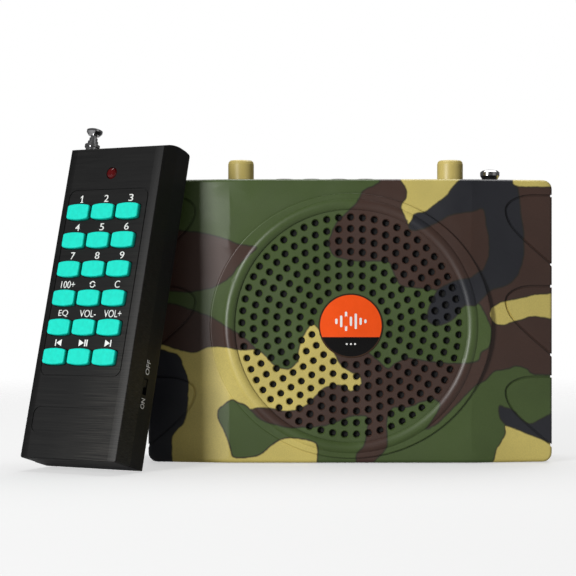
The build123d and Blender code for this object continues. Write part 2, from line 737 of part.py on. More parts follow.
# ---- Remote: shells -------------------------------------------------------------------
with BuildPart() as remote_front_shell:
    with BuildSketch(Plane.XY):
        add(remote_outline(0.0, R_SPLIT))
        make_face()
    extrude(amount=R_L + R_CROWN)
    fillet(remote_front_shell.edges().filter_by(Axis.Y).group_by(Axis.Z)[0], 0.8)
    fillet(remote_front_shell.edges().filter_by(Axis.Z).group_by(Axis.Y)[-2], 0.35)
    add(within_side(), mode=Mode.INTERSECT)
    with BuildSketch(Plane.XY.offset(R_WALL)):
        add(remote_outline(R_WALL, R_SPLIT))
        make_face()
    extrude(amount=R_L - 2 * R_WALL, mode=Mode.SUBTRACT)
    with BuildSketch(facing(R_WALL + 1)):
        key_window = key_shape(KEY_W + 2 * KEY_GAP, KEY_H + 2 * KEY_GAP, KEY_BULGE)
        with Locations(*key_places().values()):
            add(key_window)
        with Locations((LED_X, LED_Z)):
            Circle(LED_R + 0.1)
    extrude(amount=5, mode=Mode.SUBTRACT)
    # Fine frame line round the keys, and the shallow panel below them
    with BuildSketch(facing(0.35, -0.3, 63.4)):
        RectangleRounded(34.0, 68.4, 3.0)
        RectangleRounded(33.3, 67.7, 2.7, mode=Mode.SUBTRACT)
    extrude(amount=1, mode=Mode.SUBTRACT)
    with BuildSketch(facing(0.35, -0.3, 13.6)):
        RectangleRounded(33.6, 9.2, 2.6)
    extrude(amount=1, mode=Mode.SUBTRACT)
    # Way out for the antenna
    with BuildSketch(Plane.XY.offset(R_L - 3)):
        with Locations(R_ANT):
            Circle(R_ANT_RADII[0] + 0.1)
    extrude(amount=8, mode=Mode.SUBTRACT)
    add(remote_posts(R_WALL - 0.4, R_SPLIT - SLACK, 2.4).part)
    add(remote_posts(R_WALL + 1.6, R_SPLIT, 0.85).part, mode=Mode.SUBTRACT)
save(remote_front_shell, "remote_front_shell", REMOTE)

with BuildPart() as remote_rear_shell:
    with BuildSketch(Plane.XY) as rear_plan:
        with Locations((0, (R_SPLIT + R_T) / 2)):
            Rectangle(R_W, R_T - R_SPLIT)
        fillet(rear_plan.vertices().group_by(Axis.Y)[-1], 2.0)
    extrude(amount=R_L + R_CROWN)
    add(within_side(), mode=Mode.INTERSECT)
    with BuildSketch(facing(R_SPLIT, z=R_L / 2)):
        RectangleRounded(R_W - 2 * R_WALL, R_L - 2 * R_WALL, 1.0)
    extrude(amount=R_SPLIT - R_T + R_WALL, mode=Mode.SUBTRACT)
    inner_back = R_T - R_WALL
    # Corner of the back at the top end, kept thick where the outside is rounded
    with BuildSketch(Plane.YZ.offset(-R_W / 2 + R_WALL)):
        with BuildLine():
            Polyline((inner_back, R_L - 4.0), (inner_back, R_L - R_WALL),
                     (R_T - 4.0, R_L - R_WALL), close=True)
        make_face()
    extrude(amount=R_W - 2 * R_WALL)
    # Battery opening, its ledge, and the wall between cell and board
    with BuildSketch(facing(R_T, z=sum(R_DOOR_Z) / 2)):
        RectangleRounded(R_DOOR_W + 0.4, R_DOOR_Z[1] - R_DOOR_Z[0] + 0.4, 1.2)
    extrude(amount=0.9, mode=Mode.SUBTRACT)
    with BuildSketch(facing(R_T, z=sum(R_DOOR_Z) / 2)):
        Rectangle(R_DOOR_W - 1.6, R_DOOR_Z[1] - R_DOOR_Z[0] - 1.6)
    extrude(amount=4, mode=Mode.SUBTRACT)
    # Slot of the slide switch
    with BuildSketch(Plane.YZ.offset(R_W / 2 - 3)):
        with Locations((SWITCH_Y, SWITCH_Z - SWITCH_TRAVEL / 2)):
            Rectangle(2.2, 5.7)
    extrude(amount=4, mode=Mode.SUBTRACT)
    add(remote_posts(R_SPLIT + SLACK, R_T - 0.8, 2.4).part)
    add(remote_posts(R_SPLIT, R_T, 1.05).part, mode=Mode.SUBTRACT)
    add(remote_posts(R_T - 2.4, R_T + 1, 1.9).part, mode=Mode.SUBTRACT)
save(remote_rear_shell, "remote_rear_shell", REMOTE)

# ---- Remote: keys, plate, board, lamp and switch --------------------------------------
key_face = key_shape(KEY_W, KEY_H, KEY_BULGE)
for key_name, (key_x, key_z) in key_places().items():
    with BuildPart() as key:
        with BuildSketch(facing(3.0, key_x, key_z)):
            add(key_face)
        extrude(amount=3.0 + KEY_RAISE)
        fillet(key.faces().sort_by(Axis.Y)[0].edges(), 0.5)
        with BuildSketch(facing(3.7, key_x, key_z)):
            Rectangle(5.4, 7.3)
        extrude(amount=0.7)
        with BuildSketch(facing(7.2, key_x, key_z)):
            Rectangle(3.4, 3.0)
        extrude(amount=4.2)
    save(key, key_name, REMOTE)

with BuildPart() as keypad_plate:
    with BuildSketch(facing(2.8, KEY_MID_X, 62.6)):
        RectangleRounded(33.4, 61.6, 2.0)
    extrude(amount=0.8)
    with BuildSketch(facing(3.0)):
        plate_window = key_shape(KEY_W + 0.6, KEY_H + 0.6, KEY_BULGE)
        with Locations(*key_places().values()):
            add(plate_window)
    extrude(amount=2.0, mode=Mode.SUBTRACT)
save(keypad_plate, "keypad_plate", REMOTE)

with BuildPart() as remote_board:
    with BuildSketch(facing(R_BOARD_Y + R_BOARD_T)):
        with Locations((1.3, 66.5)):
            Rectangle(31.4, 67)
        with Locations((0.0, 103.5)):
            Rectangle(9, 8)
    extrude(amount=R_BOARD_T)
    with BuildSketch(facing(R_BOARD_Y + 0.2)):
        with Locations(*key_places().values()):
            Circle(1.6)
    extrude(amount=0.6)
    with BuildSketch(facing(R_BOARD_Y + R_BOARD_T)):
        with Locations((4, 82), (-6, 60)):
            Rectangle(10, 10)
    extrude(amount=-1.8)
    # Body of the slide switch, beside the side wall
    with BuildSketch(facing(SWITCH_Y + 2.0)):
        with Locations((15.0, 31.5)):
            Rectangle(3.6, 9.0)
    extrude(amount=4.0)
    # Spring clips at the ends of the cell
    with BuildSketch(facing(12.0, z=CELL[1])):
        with Locations((-CELL_L / 2 - 0.8, 0), (CELL_L / 2 + 0.8, 0)):
            Rectangle(0.8, 7.0)
    extrude(amount=6.0)
save(remote_board, "remote_board", REMOTE)

led_axis = Axis((LED_X, 0, LED_Z), (0, 1, 0))
remote_led = turned([(0, -1.0), (1.0, -0.85), (1.75, -0.3), (LED_R, 0.4), (LED_R, 3.0),
                     (LED_R + 0.5, 3.0), (LED_R + 0.5, 4.0), (1.6, 4.0), (1.6, 8.8), (0, 8.8)],
                    led_axis, Plane((LED_X, 0, LED_Z)))
save(remote_led, "remote_led", REMOTE)

with BuildPart() as remote_switch:
    with BuildSketch(Plane.YZ.offset(17.0)):
        with Locations((SWITCH_Y, SWITCH_Z)):
            Rectangle(1.6, 2.6)
    extrude(amount=R_W / 2 - 17.0 - 0.2)
    with BuildSketch(Plane.YZ.offset(17.0)):
        with Locations((SWITCH_Y, SWITCH_Z)):
            Rectangle(2.6, 4.0)
    extrude(amount=0.8)
save(remote_switch, "remote_switch", REMOTE)

# ---- Remote: battery, door, screws and antenna ----------------------------------------
with BuildPart() as remote_battery:
    with BuildSketch(Plane.YZ.offset(-CELL_L / 2)):
        with Locations(CELL):
            Circle(CELL_R)
    extrude(amount=CELL_L - 1.0)
    fillet(remote_battery.edges(), 0.5)
    with BuildSketch(Plane.YZ.offset(CELL_L / 2 - 1.0)):
        with Locations(CELL):
            Circle(2.6)
    extrude(amount=1.0)
save(remote_battery, "remote_battery", REMOTE)

with BuildPart() as remote_battery_door:
    with BuildSketch(facing(R_T, z=sum(R_DOOR_Z) / 2)):
        RectangleRounded(R_DOOR_W, R_DOOR_Z[1] - R_DOOR_Z[0], 1.0)
    extrude(amount=0.8)
    with BuildSketch(facing(R_T, z=sum(R_DOOR_Z) / 2)):
        Rectangle(R_DOOR_W - 2.2, R_DOOR_Z[1] - R_DOOR_Z[0] - 2.2)
    extrude(amount=1.6)
    with BuildSketch(facing(R_T, z=R_DOOR_Z[1] - 4.5)):
        with GridLocations(0, 1.2, 1, 3):
            Rectangle(9, 0.5)
    extrude(amount=0.4, mode=Mode.SUBTRACT)
save(remote_battery_door, "remote_battery_door", REMOTE)

with BuildPart() as remote_screws:
    with BuildSketch(facing(R_T - 2.5)):
        with Locations(*R_SCREWS):
            Circle(0.8)
    extrude(amount=11.5)
    with BuildSketch(facing(R_T - 2.4)):
        with Locations(*R_SCREWS):
            Circle(1.7)
    extrude(amount=-1.4)
save(remote_screws, "remote_screws", REMOTE)

telescope("remote_antenna", R_ANT, R_ANT_RADII, R_ANT_FOOT, R_ANT_STEPS,
          (2.9, R_ANT_CAP_TOP), (2.75, 1.0), REMOTE)
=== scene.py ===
"""Looks of the electronic game caller and its keypad remote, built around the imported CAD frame."""

import json
import math

import bmesh
import bpy
import numpy as np
from mathutils import Matrix, Vector, noise
from mathutils.geometry import delaunay_2d_cdt


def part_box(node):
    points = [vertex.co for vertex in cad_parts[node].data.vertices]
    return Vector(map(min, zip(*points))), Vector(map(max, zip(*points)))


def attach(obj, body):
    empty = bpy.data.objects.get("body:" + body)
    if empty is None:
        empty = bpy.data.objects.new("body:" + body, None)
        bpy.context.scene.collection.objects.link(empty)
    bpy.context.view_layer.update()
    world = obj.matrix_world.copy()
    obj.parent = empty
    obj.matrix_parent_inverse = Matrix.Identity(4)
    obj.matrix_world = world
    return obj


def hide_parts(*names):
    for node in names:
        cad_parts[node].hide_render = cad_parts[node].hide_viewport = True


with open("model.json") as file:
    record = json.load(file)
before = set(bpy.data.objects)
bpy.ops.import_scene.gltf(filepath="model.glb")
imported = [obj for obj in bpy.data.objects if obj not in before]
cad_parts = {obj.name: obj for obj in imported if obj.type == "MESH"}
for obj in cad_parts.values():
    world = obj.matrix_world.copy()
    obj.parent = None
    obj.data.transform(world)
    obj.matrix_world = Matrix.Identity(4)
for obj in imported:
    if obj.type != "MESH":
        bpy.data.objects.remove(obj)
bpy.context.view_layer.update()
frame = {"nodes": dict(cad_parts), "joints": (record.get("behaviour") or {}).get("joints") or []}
MM = 0.001


# ---- places, worked out from the frame --------------------------------------------------------------

def joint_axis(name):
    """The direction of a joint of the frame."""
    return Vector(next(j["axis"] for j in frame["joints"] if j["name"] == name)).normalized()


def corners(node):
    """A node's points as an array, in metres."""
    mesh = frame["nodes"][node].data
    points = np.empty(len(mesh.vertices) * 3)
    mesh.vertices.foreach_get("co", points)
    return points.reshape(-1, 3)


def middle(node):
    """The middle of a node's box."""
    low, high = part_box(node)
    return (low + high) / 2


REMOTE_IN = joint_axis("press_key_1")
REMOTE_UP = joint_axis("remote_antenna_pull_1")
REMOTE_RIGHT = REMOTE_IN.cross(REMOTE_UP).normalized()


def remote_corner():
    """The remote's own origin: mid-width, on its front face, at its foot."""
    points = np.vstack([corners("remote_front_shell"), corners("remote_rear_shell")])
    across = points @ np.array(REMOTE_RIGHT)
    depth = points @ np.array(REMOTE_IN)
    height = points @ np.array(REMOTE_UP)
    return (REMOTE_RIGHT * float(across.min() + across.max()) / 2
            + REMOTE_IN * float(depth.min())
            + REMOTE_UP * float(height.min()))


REMOTE_ORIGIN = remote_corner()


def on_remote(across, depth, height):
    """A point of the remote, in millimetres of its own frame."""
    return REMOTE_ORIGIN + (REMOTE_RIGHT * across + REMOTE_IN * depth + REMOTE_UP * height) * MM


def remote_place(node):
    """The middle of a node in the remote's own frame, in millimetres."""
    points = corners(node)
    place = []
    for axis in (REMOTE_RIGHT, REMOTE_IN, REMOTE_UP):
        along = (points - np.array(REMOTE_ORIGIN)) @ np.array(axis)
        place.append(float(along.min() + along.max()) / 2 / MM)
    return place


# ---- stage, light and camera ------------------------------------------------------------------------

WHITE = (1, 1, 1, 1)
PALE = (0.95, 0.95, 0.95, 1)
FLOOR_R = 1.6
FLOOR_DROP = 0.0004
FLOOR_FADE_START, FLOOR_FADE_END = 0.25, 0.75
FLOOR_ALPHA = 0.45
AMBIENT = 0.12


def make_stage():
    """A pale round floor, half transparent so that it bounces less light, that fades out with distance."""
    bm = bmesh.new()
    bmesh.ops.create_circle(bm, cap_ends=True, radius=FLOOR_R, segments=96)
    mesh = bpy.data.meshes.new("floor")
    bm.to_mesh(mesh)
    floor = bpy.data.objects.new("floor", mesh)
    floor.location.z = -FLOOR_DROP
    bpy.context.scene.collection.objects.link(floor)
    paint = bpy.data.materials.new("pale_floor")
    paint.use_nodes = True
    tree = paint.node_tree
    shader = tree.nodes["Principled BSDF"]
    shader.inputs["Base Color"].default_value = PALE
    shader.inputs["Roughness"].default_value = 0.75
    shader.inputs["Specular IOR Level"].default_value = 0.2
    place = tree.nodes.new("ShaderNodeTexCoord")
    away = tree.nodes.new("ShaderNodeVectorMath")
    away.operation = "LENGTH"
    fade = tree.nodes.new("ShaderNodeMapRange")
    fade.interpolation_type = "SMOOTHSTEP"
    fade.inputs["From Min"].default_value = FLOOR_FADE_START
    fade.inputs["From Max"].default_value = FLOOR_FADE_END
    fade.inputs["To Min"].default_value = FLOOR_ALPHA
    fade.inputs["To Max"].default_value = 0
    tree.links.new(place.outputs["Object"], away.inputs[0])
    tree.links.new(away.outputs["Value"], fade.inputs["Value"])
    tree.links.new(fade.outputs["Result"], shader.inputs["Alpha"])
    mesh.materials.append(paint)


def make_surround():
    """A surround that is white to the camera, and lights the object weakly from all sides."""
    world = bpy.data.worlds.new("surround")
    world.use_nodes = True
    tree = world.node_tree
    backdrop = tree.nodes["Background"]
    backdrop.inputs["Color"].default_value = WHITE
    backdrop.inputs["Strength"].default_value = 1.0
    ambient = tree.nodes.new("ShaderNodeBackground")
    ambient.inputs["Color"].default_value = WHITE
    ambient.inputs["Strength"].default_value = AMBIENT
    path = tree.nodes.new("ShaderNodeLightPath")
    choose = tree.nodes.new("ShaderNodeMixShader")
    tree.links.new(path.outputs["Is Camera Ray"], choose.inputs["Fac"])
    tree.links.new(ambient.outputs["Background"], choose.inputs[1])
    tree.links.new(backdrop.outputs["Background"], choose.inputs[2])
    tree.links.new(choose.outputs["Shader"], tree.nodes["World Output"].inputs["Surface"])
    bpy.context.scene.world = world


def softbox(name, place, width, height, watts, target):
    """A rectangular area light that faces its target."""
    light = bpy.data.lights.new(name, "AREA")
    light.shape = "RECTANGLE"
    light.size = width
    light.size_y = height
    light.energy = watts
    lamp = bpy.data.objects.new(name, light)
    lamp.location = place
    lamp.rotation_euler = (Vector(target) - Vector(place)).to_track_quat("-Z", "Y").to_euler()
    bpy.context.scene.collection.objects.link(lamp)


CAMERA_PLACE = (-0.0227, -0.623, 0.0573)
LENS = 103.9
SENSOR = 36
SHIFT_UP = 0.029


def make_camera():
    """The level camera, a long lens in front of the box and a little to its left."""
    data = bpy.data.cameras.new("camera")
    data.lens = LENS
    data.sensor_width = SENSOR
    data.shift_y = SHIFT_UP
    data.clip_start = 0.01
    camera = bpy.data.objects.new("camera", data)
    camera.location = CAMERA_PLACE
    camera.rotation_euler = (math.radians(90), 0, 0)
    bpy.context.scene.collection.objects.link(camera)
    bpy.context.scene.camera = camera


make_stage()
make_surround()
BOX_MIDDLE = (0, -0.02, 0.05)
softbox("key_light", (-0.69, -0.875, 0.28), width=0.22, height=0.6, watts=10.6, target=BOX_MIDDLE)
softbox("top_light", (0.1, 0.3, 0.85), width=0.7, height=0.7, watts=6, target=BOX_MIDDLE)
softbox("fill_light", (0.9, -0.8, 0.3), width=0.8, height=0.8, watts=0.6, target=BOX_MIDDLE)
make_camera()
bpy.context.scene.view_settings.view_transform = "Standard"


# ---- finishes ---------------------------------------------------------------------------------------

def rgb(code):
    """A linear colour from a hex code."""
    levels = [int(code[i:i + 2], 16) / 255 for i in (1, 3, 5)]
    return (*[v / 12.92 if v <= 0.04045 else ((v + 0.055) / 1.055) ** 2.4 for v in levels], 1)


class Finish:
    """A procedural material: one principled shader and the nodes that vary it over the piece."""

    def __init__(self, name, **uniform):
        self.material = bpy.data.materials.new(name)
        self.material.use_nodes = True
        self.tree = self.material.node_tree
        self.shader = self.tree.nodes["Principled BSDF"]
        for socket, value in uniform.items():
            self.shader.inputs[socket.replace("_", " ")].default_value = value
        self.place = self.node("ShaderNodeTexCoord").outputs["Object"]

    def feed(self, socket, value):
        """Links a socket to another node's output, or sets its number."""
        if isinstance(value, bpy.types.NodeSocket):
            self.tree.links.new(value, socket)
        else:
            socket.default_value = value

    def node(self, kind, inputs=(), **settings):
        """A new node, with its settings and its inputs by name or number."""
        made = self.tree.nodes.new(kind)
        for key, value in settings.items():
            setattr(made, key, value)
        for key, value in dict(inputs).items():
            self.feed(made.inputs[key], value)
        return made

    def math(self, operation, *values):
        """The result of an operation on numbers or other nodes' outputs."""
        return self.node("ShaderNodeMath", dict(enumerate(values)), operation=operation).outputs[0]

    def spread(self, value, low, high, to_low=0.0, to_high=1.0):
        """A value's range moved smoothly to another range."""
        inputs = {"Value": value, "From Min": low, "From Max": high, "To Min": to_low, "To Max": to_high}
        return self.node("ShaderNodeMapRange", inputs, interpolation_type="SMOOTHSTEP").outputs["Result"]

    def noise(self, scale, detail=2.0, at=None, roughness=0.5):
        """Noise with this many waves per metre."""
        inputs = {"Vector": at or self.place, "Scale": scale, "Detail": detail, "Roughness": roughness}
        return self.node("ShaderNodeTexNoise", inputs).outputs[0]

    def cells(self, scale):
        """The distance to the middle of cells, with this many of them per metre."""
        inputs = {"Vector": self.place, "Scale": scale}
        return self.node("ShaderNodeTexVoronoi", inputs).outputs["Distance"]

    def stretched(self, factors):
        """Coordinates scaled by a factor along each axis, for a grain."""
        return self.node("ShaderNodeMapping", {"Vector": self.place, "Scale": factors}).outputs[0]

    def along(self, axis, origin=(0, 0, 0)):
        """The distance from an origin along an axis, in metres."""
        start = self.node("ShaderNodeVectorMath", {0: self.place, 1: tuple(origin)}, operation="SUBTRACT")
        pair = {0: start.outputs[0], 1: tuple(axis)}
        return self.node("ShaderNodeVectorMath", pair, operation="DOT_PRODUCT").outputs["Value"]

    def mix(self, factor, a, b, blend_type="MIX"):
        """A blend of two colours."""
        made = self.node("ShaderNodeMix", data_type="RGBA", blend_type=blend_type)
        for index, value in ((0, factor), (6, a), (7, b)):
            self.feed(made.inputs[index], value)
        return made.outputs[2]

    def shade(self, colour, factor, low, high):
        """A colour darkened or lightened by a factor's range."""
        level = self.spread(factor, 0.3, 0.7, low, high)
        grey = self.node("ShaderNodeCombineColor", {0: level, 1: level, 2: level}).outputs[0]
        return self.mix(1.0, colour, grey, "MULTIPLY")

    def bump(self, height, depth, strength=1.0):
        """A surface relief, this deep in metres."""
        inputs = {"Height": height, "Distance": depth, "Strength": strength}
        return self.node("ShaderNodeBump", inputs).outputs[0]

    def set(self, **sockets):
        """Feeds the shader's sockets, and returns the finished material."""
        for socket, value in sockets.items():
            self.feed(self.shader.inputs[socket.replace("_", " ")], value)
        return self.material


GREEN = rgb("#44552b")
BROWN = rgb("#412d25")
TAN = rgb("#cbba68")
BLACK = rgb("#222329")


def camo_plastic():
    """Printed camouflage on satin moulded plastic, from the three distance fields on the mesh; the black
    field also carries a painted shadow of the remote at the lower left.
    """
    paint = Finish("camouflage_plastic", Specular_IOR_Level=0.5)
    wobble = paint.math("MULTIPLY_ADD", paint.noise(420, 3), 0.7, -0.35)
    colour = BROWN
    for field, patch in (("camo_green", GREEN), ("camo_tan", TAN), ("camo_black_and_shadow", BLACK)):
        reading = paint.node("ShaderNodeAttribute", attribute_name=field).outputs["Fac"]
        edge = paint.math("ADD", reading, wobble)
        inside = paint.spread(edge, 0.12, -0.12)
        rim = paint.spread(paint.math("ABSOLUTE", edge), 0.08, 0.5, 0.7, 0.0)
        colour = paint.mix(inside, colour, patch)
        colour = paint.mix(rim, colour, rgb("#26241c"))
    cloudy = paint.noise(38, 3)
    speckle = paint.noise(2600, 2)
    colour = paint.shade(colour, cloudy, 0.9, 1.08)
    colour = paint.shade(colour, speckle, 0.94, 1.05)
    grain = paint.noise(3800, 2)
    return paint.set(
        Base_Color=colour,
        Roughness=paint.spread(paint.noise(60, 4), 0.3, 0.7, 0.36, 0.48),
        Normal=paint.bump(grain, 0.00003, 0.5),
    )


def moulded(name, colour, low=0.35, high=0.5, grain=4200, depth=0.00003, tone=0.08, **uniform):
    """Moulded plastic or rubber with a spark-eroded grain and a slightly uneven gloss."""
    paint = Finish(name, **uniform)
    body = paint.shade(colour, paint.noise(70, 3), 1 - tone, 1 + tone)
    body = paint.shade(body, paint.noise(2400, 2), 1 - tone / 2, 1 + tone / 2)
    return paint.set(
        Base_Color=body,
        Roughness=paint.spread(paint.noise(90, 4), 0.3, 0.7, low, high),
        Normal=paint.bump(paint.noise(grain, 2), depth, 0.6),
    )


def remote_coords(paint, across, depth, height):
    """The remote's own axes, scaled for a grain that follows them."""
    parts = {}
    for index, (axis, factor) in enumerate(
            ((REMOTE_RIGHT, across), (REMOTE_IN, depth), (REMOTE_UP, height))):
        parts[index] = paint.math("MULTIPLY", paint.along(axis, REMOTE_ORIGIN), factor)
    return paint.node("ShaderNodeCombineXYZ", parts).outputs[0]


def brushed_front():
    """The remote's near-black front: a fine brushed grain across it, with a painted sheen that lightens it
    towards its lower right.
    """
    paint = Finish("brushed_black_plastic", Specular_IOR_Level=0.22)
    hair = paint.noise(1.0, 4, remote_coords(paint, 45, 400, 7000), 0.7)
    sparkle = paint.noise(5200, 2)
    # Painted sheen: the brushed ridges turn from near-black to lighter grey towards the front's lower
    # right, standing in for a reflection.
    lower_right = paint.math("SUBTRACT", paint.along(REMOTE_RIGHT, REMOTE_ORIGIN), paint.math(
        "MULTIPLY", paint.along(REMOTE_UP, REMOTE_ORIGIN), 0.25))
    sheen_ridge = paint.mix(paint.spread(lower_right, -0.012, 0.02), rgb("#161615"), rgb("#45433f"))
    colour = paint.mix(paint.spread(hair, 0.35, 0.75), rgb("#080809"), sheen_ridge)
    colour = paint.mix(paint.spread(sparkle, 0.62, 0.8), colour, rgb("#232220"))
    return paint.set(
        Base_Color=colour,
        Roughness=paint.spread(hair, 0.3, 0.7, 0.4, 0.56),
        Normal=paint.bump(hair, 0.00004, 0.45),
    )


def remote_shell_plastic():
    """The remote's dark grey rear shell, with faint draw lines along it."""
    paint = Finish("remote_shell_plastic", Specular_IOR_Level=0.25)
    lines = paint.noise(1.0, 3, remote_coords(paint, 2600, 2600, 30), 0.6)
    grain = paint.noise(3600, 2)
    return paint.set(
        Base_Color=paint.mix(paint.spread(lines, 0.3, 0.8), rgb("#0c0c0f"), rgb("#17171b")),
        Roughness=paint.spread(grain, 0.3, 0.7, 0.42, 0.58),
        Normal=paint.bump(paint.math("ADD", lines, grain), 0.00002, 0.5),
    )


def key_silicone():
    """Soft translucent turquoise keys, with painted shade that darkens each key towards its foot."""
    paint = Finish("key_silicone", Subsurface_Weight=0.25, Subsurface_Radius=(0.6, 1.0, 1.0),
                   Subsurface_Scale=0.0012, Specular_IOR_Level=0.25)
    # Painted shade: each key darkens towards its foot, in the gap where it meets the front.
    depth = paint.along(REMOTE_IN, REMOTE_ORIGIN)
    low = paint.spread(depth, -0.0011, 0.0004)
    colour = paint.mix(low, rgb("#0fdcc6"), rgb("#055a4e"))
    colour = paint.shade(colour, paint.noise(700, 3), 0.95, 1.04)
    return paint.set(
        Base_Color=colour,
        Roughness=paint.spread(paint.noise(900, 3), 0.3, 0.7, 0.42, 0.56),
        Normal=paint.bump(paint.noise(5000, 2), 0.00002, 0.4),
    )


def chrome():
    """Drawn, plated tube with faint rings from sliding."""
    paint = Finish("chrome", Metallic=1.0)
    rings = paint.noise(1.0, 3, paint.stretched((30, 30, 2600)))
    smudge = paint.noise(160, 4)
    return paint.set(
        Base_Color=paint.mix(paint.spread(smudge, 0.3, 0.8), rgb("#c6c6c9"), rgb("#8f8e8c")),
        Roughness=paint.spread(smudge, 0.3, 0.7, 0.08, 0.2),
        Normal=paint.bump(rings, 0.000008, 0.3),
    )


def steel():
    """Zinc-plated pressed steel, a little mottled."""
    paint = Finish("plated_steel", Metallic=1.0)
    mottle = paint.noise(220, 5, None, 0.7)
    return paint.set(
        Base_Color=paint.mix(paint.spread(mottle, 0.3, 0.7), rgb("#b9bcbd"), rgb("#8f9294")),
        Roughness=paint.spread(mottle, 0.3, 0.7, 0.28, 0.46),
        Normal=paint.bump(paint.noise(2600, 3), 0.00001, 0.5),
    )


def woven_cloth():
    """Black acoustic cloth: a plain weave of fine threads."""
    pitch = 0.0006
    paint = Finish("acoustic_cloth", Sheen_Weight=0.15)
    threads = []
    for axis in ((1, 0, 0), (0, 0, 1)):
        threads.append(paint.math("SINE", paint.math("MULTIPLY", paint.along(axis), math.tau / pitch)))
    weave = paint.math("MULTIPLY", *threads)
    return paint.set(
        Base_Color=paint.mix(paint.spread(weave, -1, 1), rgb("#060607"), rgb("#131314")),
        Roughness=paint.spread(paint.noise(900), 0.3, 0.7, 0.85, 0.95),
        Normal=paint.bump(weave, 0.0001, 0.8),
    )


def cone_paper():
    """Pressed pulp with radial fibres."""
    paint = Finish("pressed_paper")
    fibre = paint.noise(900, 5, None, 0.75)
    return paint.set(
        Base_Color=paint.mix(fibre, rgb("#17171a"), rgb("#34312f")),
        Roughness=paint.spread(fibre, 0.3, 0.7, 0.8, 0.92),
        Normal=paint.bump(fibre, 0.0001, 0.6),
    )


def circuit_board():
    """Green solder mask over tracks, with pale pads."""
    paint = Finish("circuit_board", Coat_Weight=0.3)
    tracks = paint.spread(paint.cells(260), 0.28, 0.34)
    pads = paint.spread(paint.cells(420), 0.10, 0.07)
    colour = paint.mix(tracks, rgb("#1d6b3c"), rgb("#12502b"))
    colour = paint.mix(pads, colour, rgb("#c9bf93"))
    return paint.set(
        Base_Color=colour,
        Roughness=paint.spread(tracks, 0.0, 1.0, 0.35, 0.45),
        Normal=paint.bump(tracks, 0.00003, 0.5),
    )


def battery_wrap():
    """Heat-shrunk film, crinkled a little."""
    paint = Finish("battery_wrap", Coat_Weight=0.4)
    crinkle = paint.noise(420, 4, None, 0.7)
    return paint.set(
        Base_Color=paint.mix(paint.spread(crinkle, 0.3, 0.7), rgb("#2c5c9e"), rgb("#254c84")),
        Roughness=paint.spread(crinkle, 0.3, 0.7, 0.28, 0.42),
        Normal=paint.bump(crinkle, 0.0001, 0.4),
    )


def ferrite():
    """Pressed ceramic magnet, dark and slightly pitted."""
    paint = Finish("ferrite")
    pits = paint.noise(1500, 5, None, 0.8)
    return paint.set(
        Base_Color=paint.mix(pits, rgb("#2a2a2c"), rgb("#45454a")),
        Roughness=paint.spread(pits, 0.3, 0.7, 0.5, 0.7),
        Normal=paint.bump(pits, 0.00005, 0.6),
    )


def red_lamp():
    """A red epoxy lamp with its chip faintly seen."""
    paint = Finish("red_lamp", Specular_IOR_Level=0.3, Coat_Weight=0.5, Coat_Roughness=0.06)
    haze = paint.noise(900, 3)
    return paint.set(
        Base_Color=paint.mix(haze, rgb("#450204"), rgb("#5f070a")),
        Roughness=paint.spread(haze, 0.3, 0.7, 0.08, 0.18),
        Normal=paint.bump(haze, 0.00001, 0.2),
    )


def clear_window():
    """A smoked display window with a few hairline scratches."""
    paint = Finish("smoked_window", Coat_Weight=0.8, Coat_Roughness=0.03)
    hair = paint.noise(1.0, 4, paint.stretched((90, 3000, 90)), 0.7)
    return paint.set(
        Base_Color=paint.mix(paint.spread(hair, 0.6, 0.8), rgb("#0b0b0e"), rgb("#1c1c20")),
        Roughness=paint.spread(hair, 0.4, 0.8, 0.06, 0.16),
        Normal=paint.bump(hair, 0.000004, 0.3),
    )


ORANGE = rgb("#f9571c")
BADGE_MIDDLE = middle("badge")
SPLIT_DROP = 4.1 * MM
SPLIT_SOFT = 0.06 * MM
BORDER_START, BORDER_END = 0.55 * MM, 0.4 * MM


def badge_resin():
    """The printed badge under clear domed resin: orange over black, with a fine dark border."""
    paint = Finish("badge_resin", Specular_IOR_Level=0.1, Coat_Weight=0.22, Coat_Roughness=0.03)
    low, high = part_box("badge")
    height = paint.along((0, 0, 1), BADGE_MIDDLE)
    across = paint.along((1, 0, 0), BADGE_MIDDLE)
    out = paint.math("SQRT", paint.math(
        "ADD", paint.math("MULTIPLY", height, height), paint.math("MULTIPLY", across, across)))
    radius = (high.x - low.x) / 2
    upper = paint.spread(height, -SPLIT_DROP - SPLIT_SOFT, -SPLIT_DROP + SPLIT_SOFT)
    colour = paint.mix(upper, rgb("#0a0909"), ORANGE)
    border = paint.spread(out, radius - BORDER_START, radius - BORDER_END)
    colour = paint.mix(border, colour, rgb("#3d2a1e"))
    colour = paint.shade(colour, paint.noise(180, 3), 0.97, 1.03)
    return paint.set(
        Base_Color=colour,
        Roughness=paint.spread(paint.noise(300, 3), 0.3, 0.7, 0.22, 0.3),
        Normal=paint.bump(paint.noise(90, 2), 0.00003, 0.3),
    )


